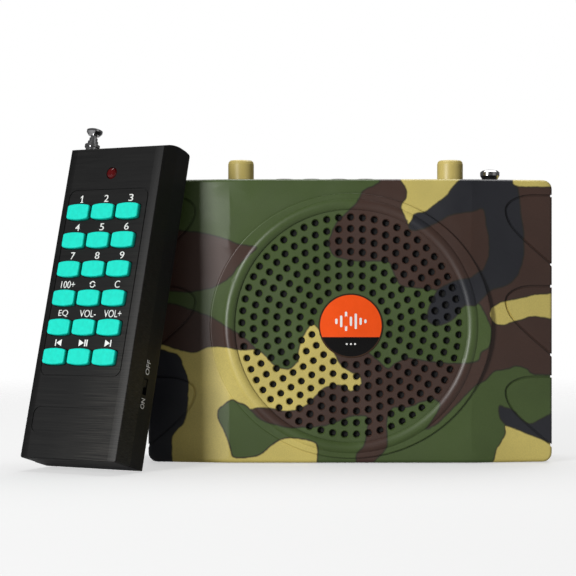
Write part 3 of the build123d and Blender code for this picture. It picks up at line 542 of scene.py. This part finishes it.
FINISHES = {
    "camo_plastic": camo_plastic(),
    "black_plastic": moulded("black_plastic", rgb("#151517"), 0.38, 0.52, Specular_IOR_Level=0.3),
    "tan_plastic": moulded("tan_plastic", rgb("#d3bf70"), 0.36, 0.46, tone=0.04),
    "badge_resin": badge_resin(),
    "black_cloth": woven_cloth(),
    "steel": steel(),
    "ferrite": ferrite(),
    "soft_rubber": moulded("soft_rubber", rgb("#1c1c1e"), 0.6, 0.75, grain=2600, depth=0.00004),
    "cone_paper": cone_paper(),
    "circuit_board": circuit_board(),
    "clear_window": clear_window(),
    "battery_wrap": battery_wrap(),
    "chrome": chrome(),
    "remote_plastic": remote_shell_plastic(),
    "red_lamp": red_lamp(),
    "key_silicone": key_silicone(),
    "print_white": moulded("print_white", rgb("#f1f1ee"), 0.45, 0.55, tone=0.02),
    "print_dark": moulded("print_dark", rgb("#2a2417"), 0.4, 0.5, tone=0.03),
    "display_lit": moulded("display_lit", rgb("#8fc7d8"), 0.3, 0.4, tone=0.03),
}
BRUSHED_FRONT = brushed_front()

for node in frame["nodes"].values():
    for held in node.material_slots:
        held.material = FINISHES[held.material.name]
frame["nodes"]["remote_front_shell"].material_slots[0].material = BRUSHED_FRONT


# ---- camouflage: distance fields, in millimetres ----------------------------------------------------
# Each outline is a smooth closed curve through these points, x and z in millimetres.

PANEL_GREEN = [
    (-80, 104), (5, 104), (4, 98), (2, 94), (-1, 91), (-5, 87), (-7, 83), (-8, 79), (-6, 75), (-3, 74),
    (3, 73), (13, 73), (15, 70), (17, 66), (19, 64), (28, 63), (32, 62), (31, 58), (30, 54), (33, 52),
    (38, 54), (42, 59), (46, 58), (48, 55), (50, 51), (51, 47), (50, 42), (47, 40), (46, 37), (38, 36),
    (27, 37), (21, 38), (16, 36), (13, 34), (10, 37), (0, 44), (-12, 46), (-15, 44), (-16, 40),
    (-18, 35), (-21, 32), (-25, 31), (-29, 34), (-33, 39), (-38, 45), (-41, 47), (-46, 50), (-51, 53),
    (-62, 57), (-80, 64),
]
UPPER_BROWN = [
    (-72, 84), (-60, 84), (-52, 83), (-45, 81), (-40, 79), (-34, 78), (-37, 75), (-41, 71), (-43, 68),
    (-47, 65), (-52, 63), (-62, 62), (-72, 66),
]
LOWER_BROWN = [
    (-68, 54), (-58, 54), (-51, 53), (-46, 50), (-41, 47), (-38, 45), (-35, 42), (-34, 39), (-39, 38),
    (-45, 39), (-52, 39), (-58, 38), (-68, 40),
]
TOP_TAN = [
    (19, 106), (46, 106), (42, 102), (38, 99.5), (36, 96), (32, 93), (28, 90), (24, 89), (22, 87), (21, 86),
    (19, 90), (18, 93), (20, 96), (20, 99),
]
BIG_BLACK = [
    (42, 103.5), (57, 105.5), (59, 101), (61, 99), (62, 90), (63, 84), (63, 79), (63, 75), (62, 71),
    (60, 67), (56, 64), (52, 63), (49, 61), (45, 57), (41, 57), (37, 52), (32, 50), (28, 51), (28, 55),
    (30, 60), (32, 63), (38, 66), (43, 67), (46, 69), (48, 70), (50, 75), (50, 82), (49, 87), (48, 92),
    (44, 91), (37, 90), (33, 88), (29, 86), (27, 85), (22, 84), (21, 86), (22, 88), (23, 90), (27, 91),
    (31, 94), (35, 97), (37, 100),
]
CORNER_TAN = [
    (55, 106), (57, 102.3), (59, 100.9), (62, 100.2), (68, 100.2), (75, 100.2), (95, 100.2), (95, 106),
]
RIGHT_TAN = [
    (50, 54), (51, 56), (54, 58), (58, 59), (63, 60), (68, 61), (80, 61), (80, 52), (67, 53), (63, 52),
    (59, 51), (56, 50), (53, 50), (51, 52),
]
LOWER_GREEN = [
    (57, 34), (60, 35), (64, 34), (67, 32), (80, 30), (80, 16), (70, 13), (64, 11), (60, 12), (58, 11),
    (56, 7), (54, 3), (54, -3), (10, -3), (13, 6), (13, 15), (15, 20), (19, 20), (23, 21), (25, 22),
    (30, 23), (32, 22), (32, 20), (29, 15), (27, 12), (32, 15), (37, 20), (41, 24), (45, 28), (49, 30),
    (52, 33),
]
FINGER_BLACK = [
    (54, 21), (54, 17), (56, 14), (58, 13), (68, 9), (80, 5), (80, 19), (70, 16), (66, 14), (63, 15),
    (59, 19), (56, 20),
]
FOOT_TAN = [(57, 14), (68, 10), (80, 6), (80, -3), (51, -3), (52, 1), (53, 5), (56, 10)]
LEFT_TAN = [
    (-80, 41), (-58, 40), (-52, 42), (-45, 42), (-40, 41), (-34, 41), (-30, 38), (-27, 35), (-23, 34),
    (-21, 35), (-19, 37), (-19, 40), (-18, 44), (-16, 48), (-13, 50), (-6, 40), (-4, 36), (0, 33),
    (3, 32), (4, 29), (2, 27), (0, 26), (-3, 28), (-7, 28), (-10, 27), (-13, 24), (-16, 21), (-21, 19),
    (-25, 19), (-30, 20), (-34, 20), (-36, 19), (-38, 17), (-40, 10), (-38, 5), (-33, 8), (-28, 11),
    (-24, 12), (-19, 12), (-14, 11), (-10, 8), (-8, 2), (-8, -3), (-80, -3),
]
LEAF_GREEN = [
    (-43, 23), (-41, 22), (-38, 21), (-36, 19), (-34, 17), (-31, 15), (-27, 14), (-23, 13), (-17, 13),
    (-14, 13), (-8, 14), (0, 17), (3, 17), (6, 17), (6, 12), (5, 7), (2, 3), (1, -3), (-11, -3),
    (-12, 6), (-14, 8), (-19, 9), (-24, 9), (-28, 7), (-33, 3), (-38, 2), (-42, 2), (-43, 3), (-44, 7),
    (-46, 12), (-48, 16), (-48, 19), (-46, 21),
]
# Painted shadow: a black patch at the box's lower left, put where the remote's shadow falls.
REMOTE_SHADOW_BLACK = [
    (-80, 40), (-66, 40), (-62, 38), (-61, 35), (-59, 29), (-60, 16), (-63, 12), (-65, 9), (-65, 3),
    (-66, -3), (-80, -3),
]


def smooth_outline(points, steps=5):
    """A closed curve through the points, as a fine polyline."""
    p = np.array(points, float)
    before, after, beyond = np.roll(p, 1, 0), np.roll(p, -1, 0), np.roll(p, -2, 0)
    curve = []
    for t in np.linspace(0, 1, steps, endpoint=False):
        curve.append(0.5 * (2 * p + (after - before) * t + (2 * before - 5 * p + 4 * after - beyond) * t**2
                            + (3 * p - before - 3 * after + beyond) * t**3))
    return np.stack(curve, 1).reshape(-1, 2)


def signed_distance(points, outline):
    """The distance of each point to a closed outline, negative inside."""
    start = smooth_outline(outline)
    run = np.roll(start, -1, 0) - start
    length = (run**2).sum(1) + 1e-9
    nearest = np.full(len(points), 1e9)
    inside = np.zeros(len(points), bool)
    for a, d, l in zip(start, run, length):
        away = points - a
        t = np.clip(away @ d / l, 0, 1)
        gap = ((away - t[:, None] * d)**2).sum(1)
        nearest = np.minimum(nearest, gap)
        if abs(d[1]) > 1e-9:
            crossing = (away[:, 1] < 0) != (away[:, 1] - d[1] < 0)
            inside ^= crossing & (away[:, 0] < away[:, 1] * d[0] / d[1])
    return np.where(inside, -1, 1) * np.sqrt(nearest)


def union(points, *outlines):
    """The distance of each point to the nearest of several outlines."""
    return np.minimum.reduce([signed_distance(points, o) for o in outlines])


GRID_STEP = 0.6
GRID_X = np.arange(-78, 78.1, GRID_STEP)
GRID_Z = np.arange(-2, 103.1, GRID_STEP)


def front_fields():
    """The green, tan and black fields over the front, on a fine grid."""
    xs, zs = np.meshgrid(GRID_X, GRID_Z, indexing="ij")
    points = np.column_stack([xs.ravel(), zs.ravel()])
    leaf = signed_distance(points, LEAF_GREEN)
    cut = union(points, UPPER_BROWN, LOWER_BROWN)
    panel = np.maximum(signed_distance(points, PANEL_GREEN), -cut)
    green = np.minimum.reduce([panel, signed_distance(points, LOWER_GREEN), leaf])
    tan = np.maximum(union(points, TOP_TAN, CORNER_TAN, RIGHT_TAN, FOOT_TAN, LEFT_TAN), -leaf)
    black = union(points, BIG_BLACK, FINGER_BLACK, REMOTE_SHADOW_BLACK)
    return [f.reshape(xs.shape) for f in (green, tan, black)]


FRONT_FIELDS = front_fields()
FIELD_NAMES = ("camo_green", "camo_tan", "camo_black_and_shadow")
# For each colour away from the front: a seed, the size of its blobs, how much it covers, and mm per unit.
WILD = ((11.3, 30, 0.02, 22), (47.9, 26, -0.17, 20), (83.1, 24, -0.20, 18))
FRONT_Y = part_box("speaker_grille")[0].y / MM
# How far behind the front, in millimetres, the drawn outlines give way to the random blobs.
FADE_START, FADE_END = 8, 17
FAR = 9


def camo_fields(points):
    """The three fields at points in metres: drawn outlines on the front, random blobs elsewhere."""
    p = np.asarray(points) / MM
    u = np.clip((p[:, 0] - GRID_X[0]) / GRID_STEP, 0, len(GRID_X) - 1.001)
    v = np.clip((p[:, 2] - GRID_Z[0]) / GRID_STEP, 0, len(GRID_Z) - 1.001)
    i, j = u.astype(int), v.astype(int)
    s, t = u - i, v - j
    away = np.clip((p[:, 1] - FRONT_Y - FADE_START) / (FADE_END - FADE_START), 0, 1)
    away = away * away * (3 - 2 * away)
    fields = []
    for grid, (seed, size, cover, unit) in zip(FRONT_FIELDS, WILD):
        drawn = ((1 - s) * (1 - t) * grid[i, j] + s * (1 - t) * grid[i + 1, j]
                 + (1 - s) * t * grid[i, j + 1] + s * t * grid[i + 1, j + 1])
        wild = np.zeros(len(p))
        for k in np.flatnonzero(away > 0):
            q = Vector((p[k, 0] / size + seed, p[k, 1] / size * 0.8, p[k, 2] / size * 1.25))
            wild[k] = -(noise.noise(q) + 0.35 * noise.noise(q * 2.3) + cover) * unit
        fields.append(np.clip(drawn, -FAR, FAR) * (1 - away) + wild * away)
    return np.array(fields)


MOST_SPLITS = 7
FINEST_EDGE = 1.5 * MM
WELD = 0.0005 * MM


def split_long_edges(bm, finest):
    """Splits the edges that a colour boundary runs through, until the mesh can carry its curve."""
    for _ in range(MOST_SPLITS):
        edges = [e for e in bm.edges if e.calc_length() > finest]
        if not edges:
            return
        middles = np.array([(e.verts[0].co + e.verts[1].co) / 2 for e in edges])
        lengths = np.array([e.calc_length() for e in edges]) / MM
        near = np.abs(camo_fields(middles)).min(0) < lengths * 0.75 + 0.5
        chosen = [e for e, wanted in zip(edges, near) if wanted]
        if not chosen:
            return
        bmesh.ops.subdivide_edges(bm, edges=chosen, cuts=1)
        many = [f for f in bm.faces if len(f.verts) > 3]
        bmesh.ops.triangulate(bm, faces=many)


def store_fields(mesh):
    """Writes the fields at every vertex, where the camouflage finish reads them."""
    points = np.empty(len(mesh.vertices) * 3)
    mesh.vertices.foreach_get("co", points)
    for name, values in zip(FIELD_NAMES, camo_fields(points.reshape(-1, 3))):
        mesh.attributes.new(name, "FLOAT", "POINT").data.foreach_set("value", values)


SHARP = math.radians(32)


def shade_by_angle(bm):
    """Smooth faces with creases where two faces meet sharply."""
    for face in bm.faces:
        face.smooth = True
    for edge in bm.edges:
        edge.smooth = len(edge.link_faces) == 2 and edge.calc_face_angle(0) < SHARP


def add_piece(name, mesh, body, finish):
    """Links a mesh as a piece on a body, with its finish."""
    piece = bpy.data.objects.new(name, mesh)
    bpy.context.scene.collection.objects.link(piece)
    mesh.materials.clear()
    mesh.materials.append(FINISHES[finish])
    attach(piece, body)
    return piece


def weigh_normals(piece):
    """Keeps flat faces flat beside their rounded edges."""
    modifier = piece.modifiers.new("weighted_normals", "WEIGHTED_NORMAL")
    modifier.keep_sharp = True
    modifier.weight = 80


def camo_copy(node, body):
    """A finer copy of a CAD node that carries the camouflage."""
    bm = bmesh.new()
    bm.from_mesh(frame["nodes"][node].data)
    bmesh.ops.remove_doubles(bm, verts=bm.verts, dist=WELD)
    bmesh.ops.triangulate(bm, faces=[f for f in bm.faces if len(f.verts) > 3])
    split_long_edges(bm, FINEST_EDGE)
    shade_by_angle(bm)
    mesh = bpy.data.meshes.new(node + "_camo")
    bm.to_mesh(mesh)
    bm.free()
    store_fields(mesh)
    piece = add_piece(node + "_camo", mesh, body, "camo_plastic")
    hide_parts(node)
    weigh_normals(piece)


camo_copy("front_shell", "caller")
camo_copy("rear_shell", "caller")
camo_copy("battery_door", "battery_door")


# ---- grille: a perforated plate with countersunk holes ----------------------------------------------

HOLE_R = 1.2
SINK_R = 1.52
SINK_DEPTH = 0.42
RINGS = 7
FIRST_RING_R = 14.3
RING_STEP = 4.17
FIRST_RING_HOLES = 21
MORE_HOLES = 6
SEAT_R = 11.7
SEAT_DEPTH = 0.4
RIM_OVER = 0.08
HOLE_SIDES, SEAT_SIDES, RIM_SIDES = 18, 72, 180
# The loose points that fill the plate between its holes: their rows, and how far they keep off each edge.
FILL_ROWS = range(-40, 41)
FILL_ACROSS, FILL_UP = 1.5, 1.3
OFF_SEAT, OFF_RIM, OFF_HOLE = 0.6, 0.8, 0.35
# A flat face lies inside a round edge if its middle is nearer than this share of the edge's radius.
INSIDE_SEAT, INSIDE_HOLE = 0.995, 0.97


def hole_centres():
    """The holes' centres from the middle of the grille, ring by ring, one hole straight up."""
    for ring in range(RINGS):
        radius = FIRST_RING_R + RING_STEP * ring
        count = FIRST_RING_HOLES + MORE_HOLES * ring
        for k in range(count):
            angle = math.tau * (0.25 + k / count)
            yield radius * math.cos(angle), radius * math.sin(angle)


def circle(centre, radius, count):
    """Points evenly round a centre."""
    return [(centre[0] + radius * math.cos(math.tau * k / count),
             centre[1] + radius * math.sin(math.tau * k / count)) for k in range(count)]


def fill_points(holes, outer):
    """Loose points on a staggered grid, clear of the seat, the rim and the holes."""
    for row in FILL_ROWS:
        for column in FILL_ROWS:
            point = np.array(((column + (row % 2) / 2) * FILL_ACROSS, row * FILL_UP))
            on_plate = SEAT_R + OFF_SEAT < float(np.hypot(*point)) < outer - OFF_RIM
            if on_plate and np.hypot(*(holes - point).T).min() > SINK_R + OFF_HOLE:
                yield tuple(point)


def make_grille():
    """The perforated plate: a flat front with countersunk holes and the badge's seat, and a flat back."""
    low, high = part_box("speaker_grille")
    centre_z = (low.z + high.z) / 2 / MM
    outer = (high.x - low.x) / 2 / MM
    front, back = low.y / MM, high.y / MM
    holes = np.array(list(hole_centres()))
    loops = [(tuple(centre), SINK_R, HOLE_R, HOLE_SIDES) for centre in holes]
    loops.append(((0, 0), SEAT_R, SEAT_R, SEAT_SIDES))
    loops.append(((0, 0), outer + RIM_OVER, outer + RIM_OVER, RIM_SIDES))
    flat, edges, spans = [], [], []
    for centre, radius, _, count in loops:
        first = len(flat)
        flat += circle(centre, radius, count)
        edges += [(first + k, first + (k + 1) % count) for k in range(count)]
        spans.append((first, count))
    flat += fill_points(holes, outer)
    points, _, faces, origins, _, _ = delaunay_2d_cdt([Vector(p) for p in flat], edges, [], 0, 1e-6, True)
    place = {source[0]: index for index, source in enumerate(origins) if source}
    bm = bmesh.new()

    def vertex(x, z, y):
        return bm.verts.new((x * MM, y * MM, (z + centre_z) * MM))

    top = [vertex(p.x, p.y, front) for p in points]
    under = [vertex(p.x, p.y, back) for p in points]
    for face in faces:
        middle_point = sum((points[i] for i in face), Vector((0, 0))) / len(face)
        out = middle_point.length
        if out > outer + RIM_OVER or out < SEAT_R * INSIDE_SEAT:
            continue
        if np.hypot(*(holes - np.array(middle_point)).T).min() < SINK_R * INSIDE_HOLE:
            continue
        bm.faces.new([top[i] for i in face])
        bm.faces.new([under[i] for i in reversed(face)])
    for (first, count), (centre, _, inner, _) in zip(spans, loops):
        ring = [place[first + k] for k in range(count)]
        step = SEAT_DEPTH if inner == SEAT_R else SINK_DEPTH
        lower = [vertex(x, z, front + step) for x, z in circle(centre, inner, count)]
        for (x, z), index in zip(circle(centre, inner, count), ring):
            under[index].co.x = x * MM
            under[index].co.z = (z + centre_z) * MM
        for k in range(count):
            n = (k + 1) % count
            bm.faces.new((top[ring[k]], top[ring[n]], lower[n], lower[k]))
            if inner != SEAT_R:
                bm.faces.new((lower[k], lower[n], under[ring[n]], under[ring[k]]))
        if inner == SEAT_R:
            bm.faces.new(lower)
            bm.faces.new([under[i] for i in reversed(ring)])
    bmesh.ops.delete(bm, geom=[v for v in bm.verts if not v.link_faces], context="VERTS")
    bmesh.ops.triangulate(bm, faces=[f for f in bm.faces if len(f.verts) > 4])
    bmesh.ops.recalc_face_normals(bm, faces=bm.faces)
    shade_by_angle(bm)
    mesh = bpy.data.meshes.new("grille_plate")
    bm.to_mesh(mesh)
    bm.free()
    store_fields(mesh)
    piece = add_piece("grille_plate", mesh, "caller", "camo_plastic")
    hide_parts("speaker_grille")
    weigh_normals(piece)


make_grille()


# ---- printed marks ----------------------------------------------------------------------------------

PRINT_FOOT = 0.004
PRINT_WELD = 0.002
PRINT_SLIVER = 0.001


class Print:
    """Flat print, built up in millimetres on a sheet and then laid on a face of the object."""

    def __init__(self):
        self.bm = bmesh.new()

    def polygon(self, points):
        """A flat face that looks up."""
        face = self.bm.faces.new([self.bm.verts.new((x, y, 0)) for x, y in points])
        if face.normal_update() or face.normal.z < 0:
            face.normal_flip()

    def bar(self, x, y, width, height):
        """An upright bar about x, y."""
        w, h = width / 2, height / 2
        self.polygon([(x - w, y - h), (x + w, y - h), (x + w, y + h), (x - w, y + h)])

    def rounded_bar(self, x, y, width, height):
        """An upright stroke with round ends."""
        r, h = width / 2, height / 2 - width / 2
        ends = [(x + r * math.cos(a), y + math.copysign(h, math.sin(a) + 1e-6) + r * math.sin(a))
                for a in [math.tau * k / 24 for k in range(24)]]
        self.polygon(ends)

    def triangle(self, x, y, width, height, way):
        """A triangle that points right for way 1 and left for way -1."""
        w, h = width / 2 * way, height / 2
        self.polygon([(x - w, y - h), (x + w, y), (x - w, y + h)])

    def band(self, x, y, radius, width, start, end, steps=12):
        """A curved band round a centre, between two angles in degrees."""
        for k in range(steps):
            quad = []
            for share, r in ((k, radius), (k + 1, radius), (k + 1, radius + width), (k, radius + width)):
                a = math.radians(start + (end - start) * share / steps)
                quad.append((x + r * math.cos(a), y + r * math.sin(a)))
            self.polygon(quad)

    def words(self, text, x, y, width, height, weight):
        """Text in the plain built-in face, fitted to a box about x, y."""
        curve = bpy.data.curves.new("words", "FONT")
        curve.body = text
        curve.size = 10
        curve.offset = weight
        holder = bpy.data.objects.new("words", curve)
        mesh = bpy.data.meshes.new_from_object(holder)
        points = np.array([v.co for v in mesh.vertices])
        low, high = points.min(0), points.max(0)
        scale = Matrix.Diagonal((width / (high[0] - low[0]), height / (high[1] - low[1]), 1, 1))
        move = Matrix.Translation((x, y, 0))
        centre = Matrix.Translation((-(low[0] + high[0]) / 2, -(low[1] + high[1]) / 2, 0))
        mesh.transform(move @ scale @ centre)
        self.bm.from_mesh(mesh)
        bpy.data.meshes.remove(mesh)
        bpy.data.objects.remove(holder)
        bpy.data.curves.remove(curve)

    def lay(self, name, place, body, finish, thick=0.04):
        """Gives the print its thickness, and lays it where place puts x, y and height above the face."""
        bmesh.ops.remove_doubles(self.bm, verts=self.bm.verts, dist=PRINT_WELD)
        bmesh.ops.dissolve_degenerate(self.bm, edges=self.bm.edges, dist=PRINT_SLIVER)
        top = list(self.bm.faces)
        for v in self.bm.verts:
            v.co.z = thick
        walls = bmesh.ops.extrude_face_region(self.bm, geom=top, use_keep_orig=True)
        for item in walls["geom"]:
            if isinstance(item, bmesh.types.BMVert):
                item.co.z = PRINT_FOOT
        bmesh.ops.recalc_face_normals(self.bm, faces=self.bm.faces)
        for v in self.bm.verts:
            v.co = place(*v.co)
        mesh = bpy.data.meshes.new(name)
        bmesh.ops.recalc_face_normals(self.bm, faces=self.bm.faces)
        self.bm.to_mesh(mesh)
        self.bm.free()
        return add_piece(name, mesh, body, finish)


CAPITAL = 2.65
LEGEND_UP = 5.2
SIGN_TALL = 2.4
SIGN_BAR = 0.45
PAUSE_BAR = 0.5
ARROW_WIDE, ARROW_TALL = 2.1, 2.5
LOOP_R, LOOP_WIDE = 0.85, 0.35
HEAD_INNER, HEAD_TIP, HEAD_OUTER = 0.5, 1.02, 1.55


def repeat_arrows(sheet, x, y):
    """Two curved arrows that chase each other."""
    for turn in (0, 180):
        sheet.band(x, y, LOOP_R, LOOP_WIDE, turn + 25, turn + 150)
        head = math.radians(turn + 158)
        back, ahead = head - 0.1, head + 0.42
        sheet.polygon([(x + r * math.cos(a), y + r * math.sin(a))
                       for r, a in ((HEAD_INNER, back), (HEAD_OUTER, back), (HEAD_TIP, ahead))])


def skip_sign(sheet, x, y, way):
    """A bar and a triangle that points to it, right for way 1 and left for way -1."""
    sheet.bar(x + 1.15 * way, y, SIGN_BAR, SIGN_TALL)
    sheet.triangle(x - 0.25 * way, y, ARROW_WIDE, ARROW_TALL, way)


def previous_sign(sheet, x, y):
    skip_sign(sheet, x, y, -1)


def next_sign(sheet, x, y):
    skip_sign(sheet, x, y, 1)


def play_pause_sign(sheet, x, y):
    """A triangle and two bars."""
    sheet.triangle(x - 0.7, y, ARROW_WIDE, ARROW_TALL, 1)
    sheet.bar(x + 0.85, y, PAUSE_BAR, SIGN_TALL)
    sheet.bar(x + 1.65, y, PAUSE_BAR, SIGN_TALL)


def one_sign(sheet, x, y):
    """A narrow 1 with a flag and a foot."""
    sheet.bar(x, y, 0.42, CAPITAL)
    sheet.bar(x, y - CAPITAL / 2 + 0.14, 1.25, 0.28)
    flag = ((-0.2, CAPITAL / 2), (-0.75, 0.6), (-0.75, 0.3), (-0.2, 0.75))
    sheet.polygon([(x + right, y + up) for right, up in flag])


# What each key says and how wide that is, or the sign that it carries.
KEY_WORDS = {"key_100_plus": ("100+", 6.0), "key_clear": ("C", 2.1), "key_eq": ("EQ", 4.1),
             "key_volume_down": ("VOL-", 6.9), "key_volume_up": ("VOL+", 7.3)}
KEY_WORDS.update({f"key_{digit}": (str(digit), 1.9) for digit in range(2, 10)})
KEY_SIGNS = {"key_1": one_sign, "key_repeat": repeat_arrows, "key_previous": previous_sign,
             "key_next": next_sign, "key_play_pause": play_pause_sign}
KEY_WEIGHT, SWITCH_WEIGHT, PANEL_WEIGHT, DISPLAY_WEIGHT = 0.06, 0.05, 0.03, 0.02
SWITCH_CAPITAL = 2.3


def keypad_legends():
    """What each key is, printed white above it."""
    sheet = Print()
    for node, (text, width) in KEY_WORDS.items():
        across, _, height = remote_place(node)
        sheet.words(text, across, height + LEGEND_UP, width, CAPITAL, KEY_WEIGHT)
    for node, sign in KEY_SIGNS.items():
        across, _, height = remote_place(node)
        sign(sheet, across, height + LEGEND_UP)
    sheet.lay("keypad_legends", lambda x, y, z: on_remote(x, -z, y), "remote", "print_white")


def switch_legends():
    """ON and OFF beside the slide switch, written along the remote's side."""
    _, depth, height = remote_place("remote_switch")
    points = corners("remote_front_shell")
    wall = float(((points - np.array(REMOTE_ORIGIN)) @ np.array(REMOTE_RIGHT)).max()) / MM
    sheet = Print()
    for text, along, width in (("OFF", 5.6, 5.2), ("ON", -7.2, 3.6)):
        sheet.words(text, height + along, depth, width, SWITCH_CAPITAL, SWITCH_WEIGHT)
    sheet.lay("switch_legends", lambda x, y, z: on_remote(wall + z, depth - (y - depth), x), "remote",
              "print_white")


DIAL_TICKS = 11
DIAL_START, DIAL_STEP = 240, 30
TICK_FOOT, TICK_END, LONG_TICK_END = 5.9, 6.6, 7.0
LONG_TICK_EVERY = 5
HALF_TICK = 0.11


def dial(sheet, x, y):
    """Ticks round a knob, from lowest to highest."""
    for k in range(DIAL_TICKS):
        a = math.radians(DIAL_START - DIAL_STEP * k)
        along = Vector((math.cos(a), math.sin(a)))
        side = Vector((-along.y, along.x)) * HALF_TICK
        base, tip = along * TICK_FOOT, along * (TICK_END if k % LONG_TICK_EVERY else LONG_TICK_END)
        tick = (base - side, tip - side, tip + side, base + side)
        sheet.polygon([Vector((x, y)) + corner for corner in tick])


# For each control: its word, how far behind its middle that stands, and its width. Then the same for
# the sockets, by place: x, y, word and width.
PANEL_WORDS = (
    ("volume_knob", "VOL", -8.6, 4.2), ("echo_knob", "ECHO", -8.6, 5.6),
    ("button_mode", "MODE", -5.4, 5.2), ("display_window", "DISPLAY", 6.9, 6.6),
)
SOCKET_WORDS = ((-46.8, -6.5, "IN", 1.9), (-46.2, 2.3, "OUT", 3.6), (-46.4, 11.0, "DC", 2.6),
                (22.0, 13.2, "USB", 4.0), (22.0, -7.0, "CARD", 4.8))
SMALL = 1.5
SIGN_AHEAD = 5.6


def panel_legends():
    """What each control and socket on the top is."""
    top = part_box("top_panel")[1].z / MM
    sheet = Print()
    for node, text, back, width in PANEL_WORDS:
        centre = middle(node) / MM
        sheet.words(text, centre.x, centre.y + back, width, SMALL, PANEL_WEIGHT)
    for x, y, text, width in SOCKET_WORDS:
        sheet.words(text, x, y, width, SMALL, PANEL_WEIGHT)
    for node in ("volume_knob", "echo_knob"):
        centre = middle(node) / MM
        dial(sheet, centre.x, centre.y)
    for node, sign in (("button_previous", previous_sign), ("button_play", play_pause_sign),
                       ("button_next", next_sign)):
        centre = middle(node) / MM
        sign(sheet, centre.x, centre.y - SIGN_AHEAD)
    sheet.lay("panel_legends", lambda x, y, z: Vector((x, y, top + z)) * MM, "caller", "print_white")


POINTER_OUT, POINTER_WIDE, POINTER_LONG = 2.3, 0.7, 2.6


def knob_marks():
    """A pointer line on each knob's top, turned with the knob."""
    for node in ("volume_knob", "echo_knob"):
        centre, top = middle(node) / MM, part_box(node)[1].z / MM
        sheet = Print()
        sheet.rounded_bar(centre.x, centre.y + POINTER_OUT, POINTER_WIDE, POINTER_LONG)
        sheet.lay(node + "_mark", lambda x, y, z: Vector((x, y, top + z)) * MM, node, "print_dark")


DIGIT_START, DIGIT_PITCH = -8.5, 4.2
DIGIT_WIDE, DIGIT_TALL = 2.6, 5.2
DISPLAY_THICK = 0.02


def display_digits():
    """A lit track number and a small battery sign on the display."""
    centre, top = middle("display_window") / MM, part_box("display_window")[1].z / MM
    sheet = Print()
    for k, digit in enumerate("0025"):
        x = centre.x + DIGIT_START + DIGIT_PITCH * k
        sheet.words(digit, x, centre.y, DIGIT_WIDE, DIGIT_TALL, DISPLAY_WEIGHT)
    sheet.bar(centre.x + 11, centre.y + 2.4, 3.4, 1.7)
    sheet.bar(centre.x + 13, centre.y + 2.4, 0.4, 0.8)
    sheet.lay("display_digits", lambda x, y, z: Vector((x, y, top + z)) * MM, "caller", "display_lit",
              DISPLAY_THICK)


def dome_height():
    """How far out the badge's round dome stands at each distance from its middle, in millimetres."""
    points = corners("badge") / MM
    centre = BADGE_MIDDLE / MM
    out = np.hypot(points[:, 0] - centre.x, points[:, 2] - centre.z)
    radius, apex = float(out.max()), float(points[:, 1].min())
    rise = float(points[out > radius * 0.995, 1].min()) - apex
    ball = (radius**2 + rise**2) / (2 * rise)
    return lambda distance: apex + ball - math.sqrt(ball**2 - distance**2)


STROKES = (2.0, 4.2, 7.0, 3.4, 5.6, 2.6, 1.4)
STROKE_PITCH, STROKE_WIDE, STROKES_UP = 1.75, 0.85, 1.6
# A dot is a hair taller than wide, because a stroke's two round ends have to stand apart.
DOT_PITCH, DOT_WIDE, DOT_TALL, DOTS_UP = 1.5, 0.7, 0.7001, -6.6
MARK_THICK = 0.05


def badge_mark():
    """A plain sound-wave sign of upright strokes over three dots, on the badge's dome."""
    sheet = Print()
    for k, tall in enumerate(STROKES):
        sheet.rounded_bar((k - 3) * STROKE_PITCH, STROKES_UP, STROKE_WIDE, tall)
    for k in (-1, 0, 1):
        sheet.rounded_bar(k * DOT_PITCH, DOTS_UP, DOT_WIDE, DOT_TALL)
    bulge = dome_height()
    centre = BADGE_MIDDLE / MM

    def place(x, y, z):
        return Vector((centre.x + x, bulge(math.hypot(x, y)) - z, centre.z + y)) * MM

    sheet.lay("badge_mark", place, "caller", "print_white", MARK_THICK)


keypad_legends()
switch_legends()
panel_legends()
knob_marks()
display_digits()
badge_mark()
